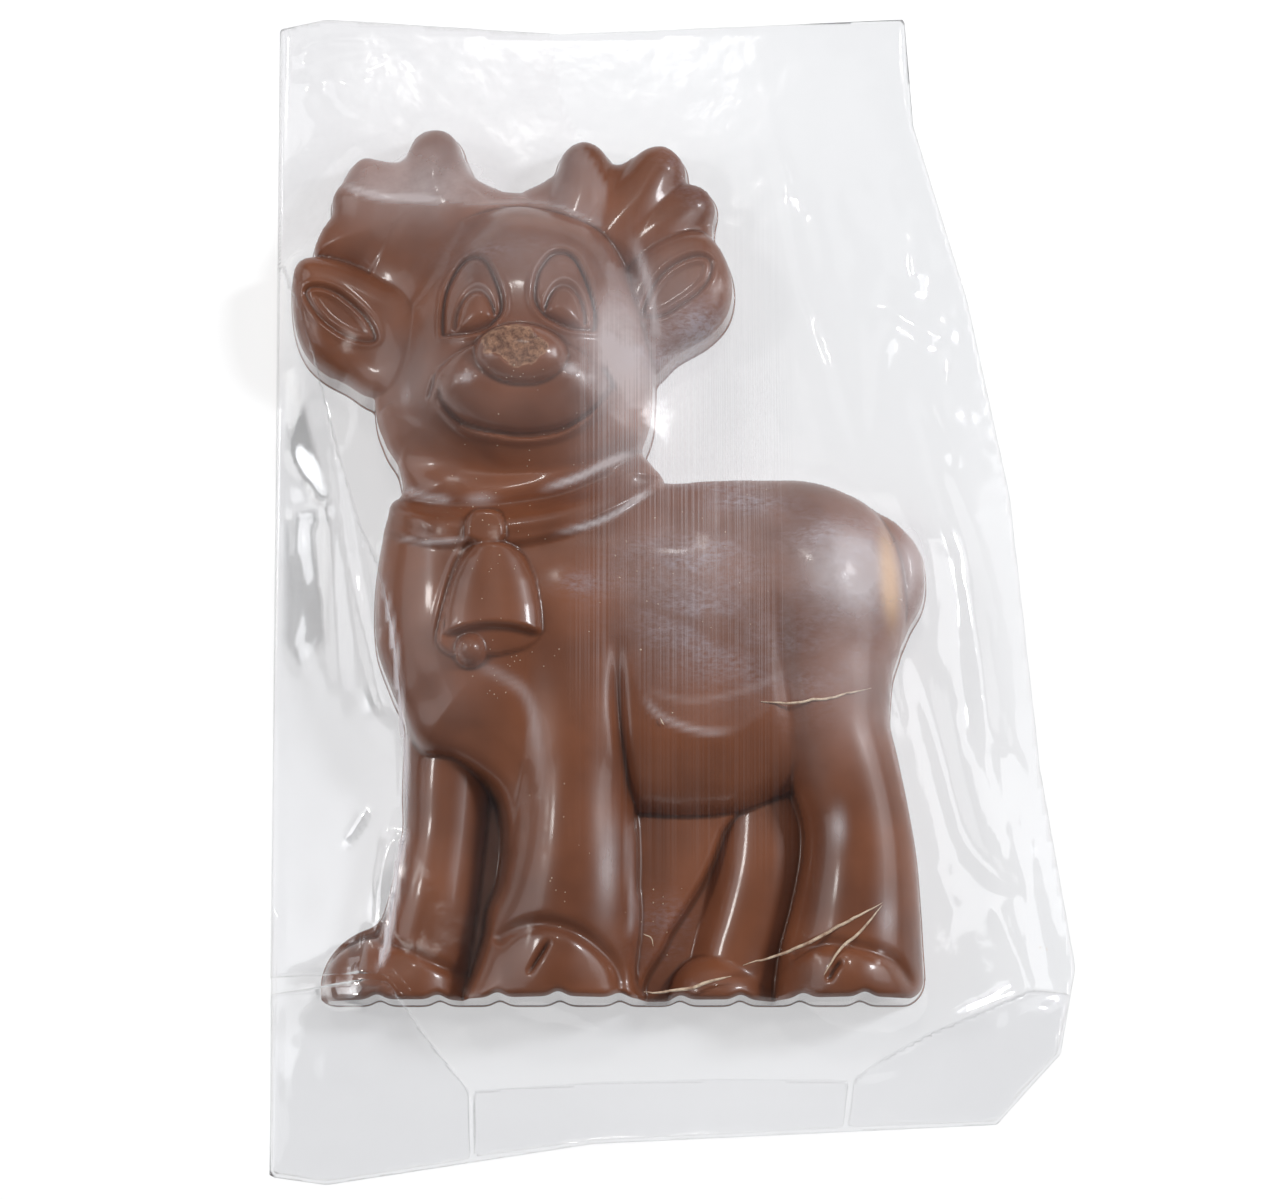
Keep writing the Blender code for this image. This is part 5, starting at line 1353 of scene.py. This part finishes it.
def shaving_finish():
    """Dry scraped chocolate: matte tan that varies from crumb to crumb."""
    made, n = new_material("chocolate_crumbs")
    patchy = n.ramp(n.noise(n.place(), 700.0, 2.0), 0.15, 0.55)
    shader = n.add("BsdfPrincipled", {
        "Base Color": n.mix(patchy, CHOCOLATE_WARM, SHAVING_TAN),
        "Roughness": 0.7,
    })
    n.add("OutputMaterial", {"Surface": shader.outputs[0]})
    return made


def film_wear_and_glare():
    """Haze of the film, up to 1: twice the sum of scratches along Y, the painted glare, highlight lines and
    soft reflection, and an even part.
    """
    tree = bpy.data.node_groups.new("film_wear_and_glare", "ShaderNodeTree")
    for name in ("Scratched", "PaintedGlare", "Even"):
        tree.interface.new_socket(name, in_out="INPUT", socket_type="NodeSocketFloat")
    tree.interface.new_socket("Haze", in_out="OUTPUT", socket_type="NodeSocketFloat")
    n = Nodes(tree)
    given = n.tree.nodes.new("NodeGroupInput").outputs
    fine = n.ramp(n.noise(n.place(SCRATCH_WAVES), 1.0, 1.0, 0.5), 0.42, 0.64)
    broken = n.ramp(n.noise(n.place(BREAK_WAVES), 1.0, 3.0), 0.20, 0.60)
    lines = n.times(n.times(fine, broken), n.times(given["Scratched"], SCRATCH_HAZE))
    cloudy = n.ramp(n.noise(n.place(), GLARE_WAVES, 4.0, 0.65), -0.35, 0.60)
    # The painted glare, highlight lines and soft reflection, broken up by clouds.
    milk = n.times(given["PaintedGlare"], cloudy)
    haze = n.times(n.math("ADD", n.math("ADD", lines, milk), given["Even"]), 2.0, clamp=True)
    out = n.tree.nodes.new("NodeGroupOutput")
    n.tree.links.new(haze, out.inputs["Haze"])
    return tree


def film_finish(name, wear_and_glare, tint, haze, shine_at):
    """Clear film: light passes with a slight grey tint, and a flatter look along it mirrors more.

    The haze is the part of one half that isn't see-through; it is the film's own scratches and haze
    together with the painted glare, highlight lines and soft reflection, and the other half has twice the
    tint. For light on its way to the chocolate the film is only the tint, which keeps the render quick.
    """
    made, n = new_material(name)
    facing = n.add("LayerWeight", {"Blend": 0.5}).outputs["Facing"]
    mirror = n.mark("mirror")
    grazing = n.times(n.math("POWER", facing, MIRROR_POWER), MIRROR_SHARE)
    mirrored = n.times(n.math("ADD", grazing, shine_at), mirror, clamp=True)
    waves = n.noise(n.place(), RIPPLE_WAVES, 3.0)
    ripple = n.add("Bump", {"Height": waves, "Strength": 0.25, "Distance": 0.6 * MM})
    clear = n.add("BsdfTransparent", {"Color": tint})
    tinted = n.add("BsdfTransparent", {"Color": [2.0 * part - 1.0 for part in tint]})
    worn_and_glare = n.add("Group", {}, node_tree=wear_and_glare)
    n.tree.links.new(n.mark("scratched"), worn_and_glare.inputs["Scratched"])
    n.tree.links.new(n.mark("painted_glare"), worn_and_glare.inputs["PaintedGlare"])
    worn_and_glare.inputs["Even"].default_value = haze
    # The white haze, lit by the lamps: the film's own scratches and haze, and the painted glare, highlight
    # lines and soft reflection.
    dull = n.add("BsdfPrincipled", {
        "Base Color": HAZE_AND_GLARE_WHITE,
        "Roughness": 0.6,
        "Alpha": worn_and_glare.outputs["Haze"],
    })
    veil = n.add("MixShader", {0: 0.5, 1: tinted.outputs[0], 2: dull.outputs[0]})
    tight = n.ramp(mirror, 1.0, 0.0)
    rough = n.math("ADD", n.times(tight, TIGHT_ROUGHNESS), FILM_ROUGHNESS)
    shine = n.add("BsdfGlossy", {"Color": WHITE, "Roughness": rough, "Normal": ripple.outputs[0]})
    film = n.add("MixShader", {0: mirrored, 1: veil.outputs[0], 2: shine.outputs[0]})
    shadow = n.add("LightPath").outputs["Is Shadow Ray"]
    lit = n.add("MixShader", {0: shadow, 1: film.outputs[0], 2: clear.outputs[0]})
    n.add("OutputMaterial", {"Surface": lit.outputs[0]})
    return made


# Stage, light and camera

def make_floor():
    """A plain white table. Seen directly or mirrored it glows, so that it stays white around the bag."""
    made, n = new_material("white_table")
    white = n.add("BsdfDiffuse", {"Color": (TABLE_WHITE, TABLE_WHITE, TABLE_WHITE, 1.0)})
    glow = n.add("Emission", {"Color": WHITE, "Strength": TABLE_GLOW})
    path = n.add("LightPath")
    seen = n.math("MAXIMUM", path.outputs["Is Camera Ray"], path.outputs["Is Glossy Ray"])
    both = n.add("AddShader", {0: white.outputs[0], 1: glow.outputs[0]})
    mixed = n.add("MixShader", {0: seen, 1: white.outputs[0], 2: both.outputs[0]})
    n.add("OutputMaterial", {"Surface": mixed.outputs[0]})
    corners = [(x * TABLE_HALF, y * TABLE_HALF, 0.0) for x, y in ((-1, -1), (1, -1), (1, 1), (-1, 1))]
    data = bpy.data.meshes.new("table")
    data.from_pydata(corners, [], [(0, 1, 2, 3)])
    data.materials.append(made)
    table = bpy.data.objects.new("table", data)
    bpy.context.scene.collection.objects.link(table)


def soft_box(name, azimuth, tilt, distance, size, radiance, colour):
    """An area light that faces the figure, tilted from straight above towards an azimuth from +X."""
    a, t = np.radians(azimuth), np.radians(tilt)
    away = Vector((np.cos(a) * np.sin(t), np.sin(a) * np.sin(t), np.cos(t)))
    data = bpy.data.lights.new(name, "AREA")
    data.shape = "RECTANGLE"
    data.size, data.size_y = size
    data.energy = radiance * np.pi * size[0] * size[1]
    data.color = colour
    light = bpy.data.objects.new(name, data)
    light.location = away * distance
    light.rotation_euler = away.to_track_quat("Z", "Y").to_euler()
    bpy.context.scene.collection.objects.link(light)


def make_world(colour, strength):
    world = bpy.data.worlds.new("room")
    world.use_nodes = True
    background = world.node_tree.nodes["Background"]
    background.inputs["Color"].default_value = colour
    background.inputs["Strength"].default_value = strength
    bpy.context.scene.world = world


def make_camera():
    """The photograph's view: from almost straight above, leaning a little towards the hooves."""
    target = Vector((CAMERA_X, FIGURE_Y, FIGURE_Z)) * MM
    angle = np.radians(CAMERA_ELEVATION)
    data = bpy.data.cameras.new("camera")
    data.lens = CAMERA_LENS
    data.sensor_width = CAMERA_SENSOR
    camera = bpy.data.objects.new("camera", data)
    back = Vector((0.0, -np.cos(angle), np.sin(angle)))
    camera.location = target + back * CAMERA_DISTANCE * MM
    camera.rotation_euler = back.to_track_quat("Z", "Y").to_euler()
    bpy.context.scene.collection.objects.link(camera)
    bpy.context.scene.camera = camera


def main():
    scene = bpy.context.scene
    scene.view_settings.view_transform = "Standard"
    make_camera()
    make_world(ROOM_WHITE, ROOM_LIGHT)
    make_floor()
    for box in SOFT_BOXES:
        soft_box(*box)
    make_figure(chocolate_finish())
    wear_and_glare = film_wear_and_glare()
    clear = film_finish("clear_film", wear_and_glare, *CLEAR_FILM)
    thin = film_finish("folded_film", wear_and_glare, *FOLDED_FILM)
    film = Film()
    make_bag(film, clear, thin)
    dry = shaving_finish()
    make_shavings(dry, film)
    make_crumbs(dry)


main()
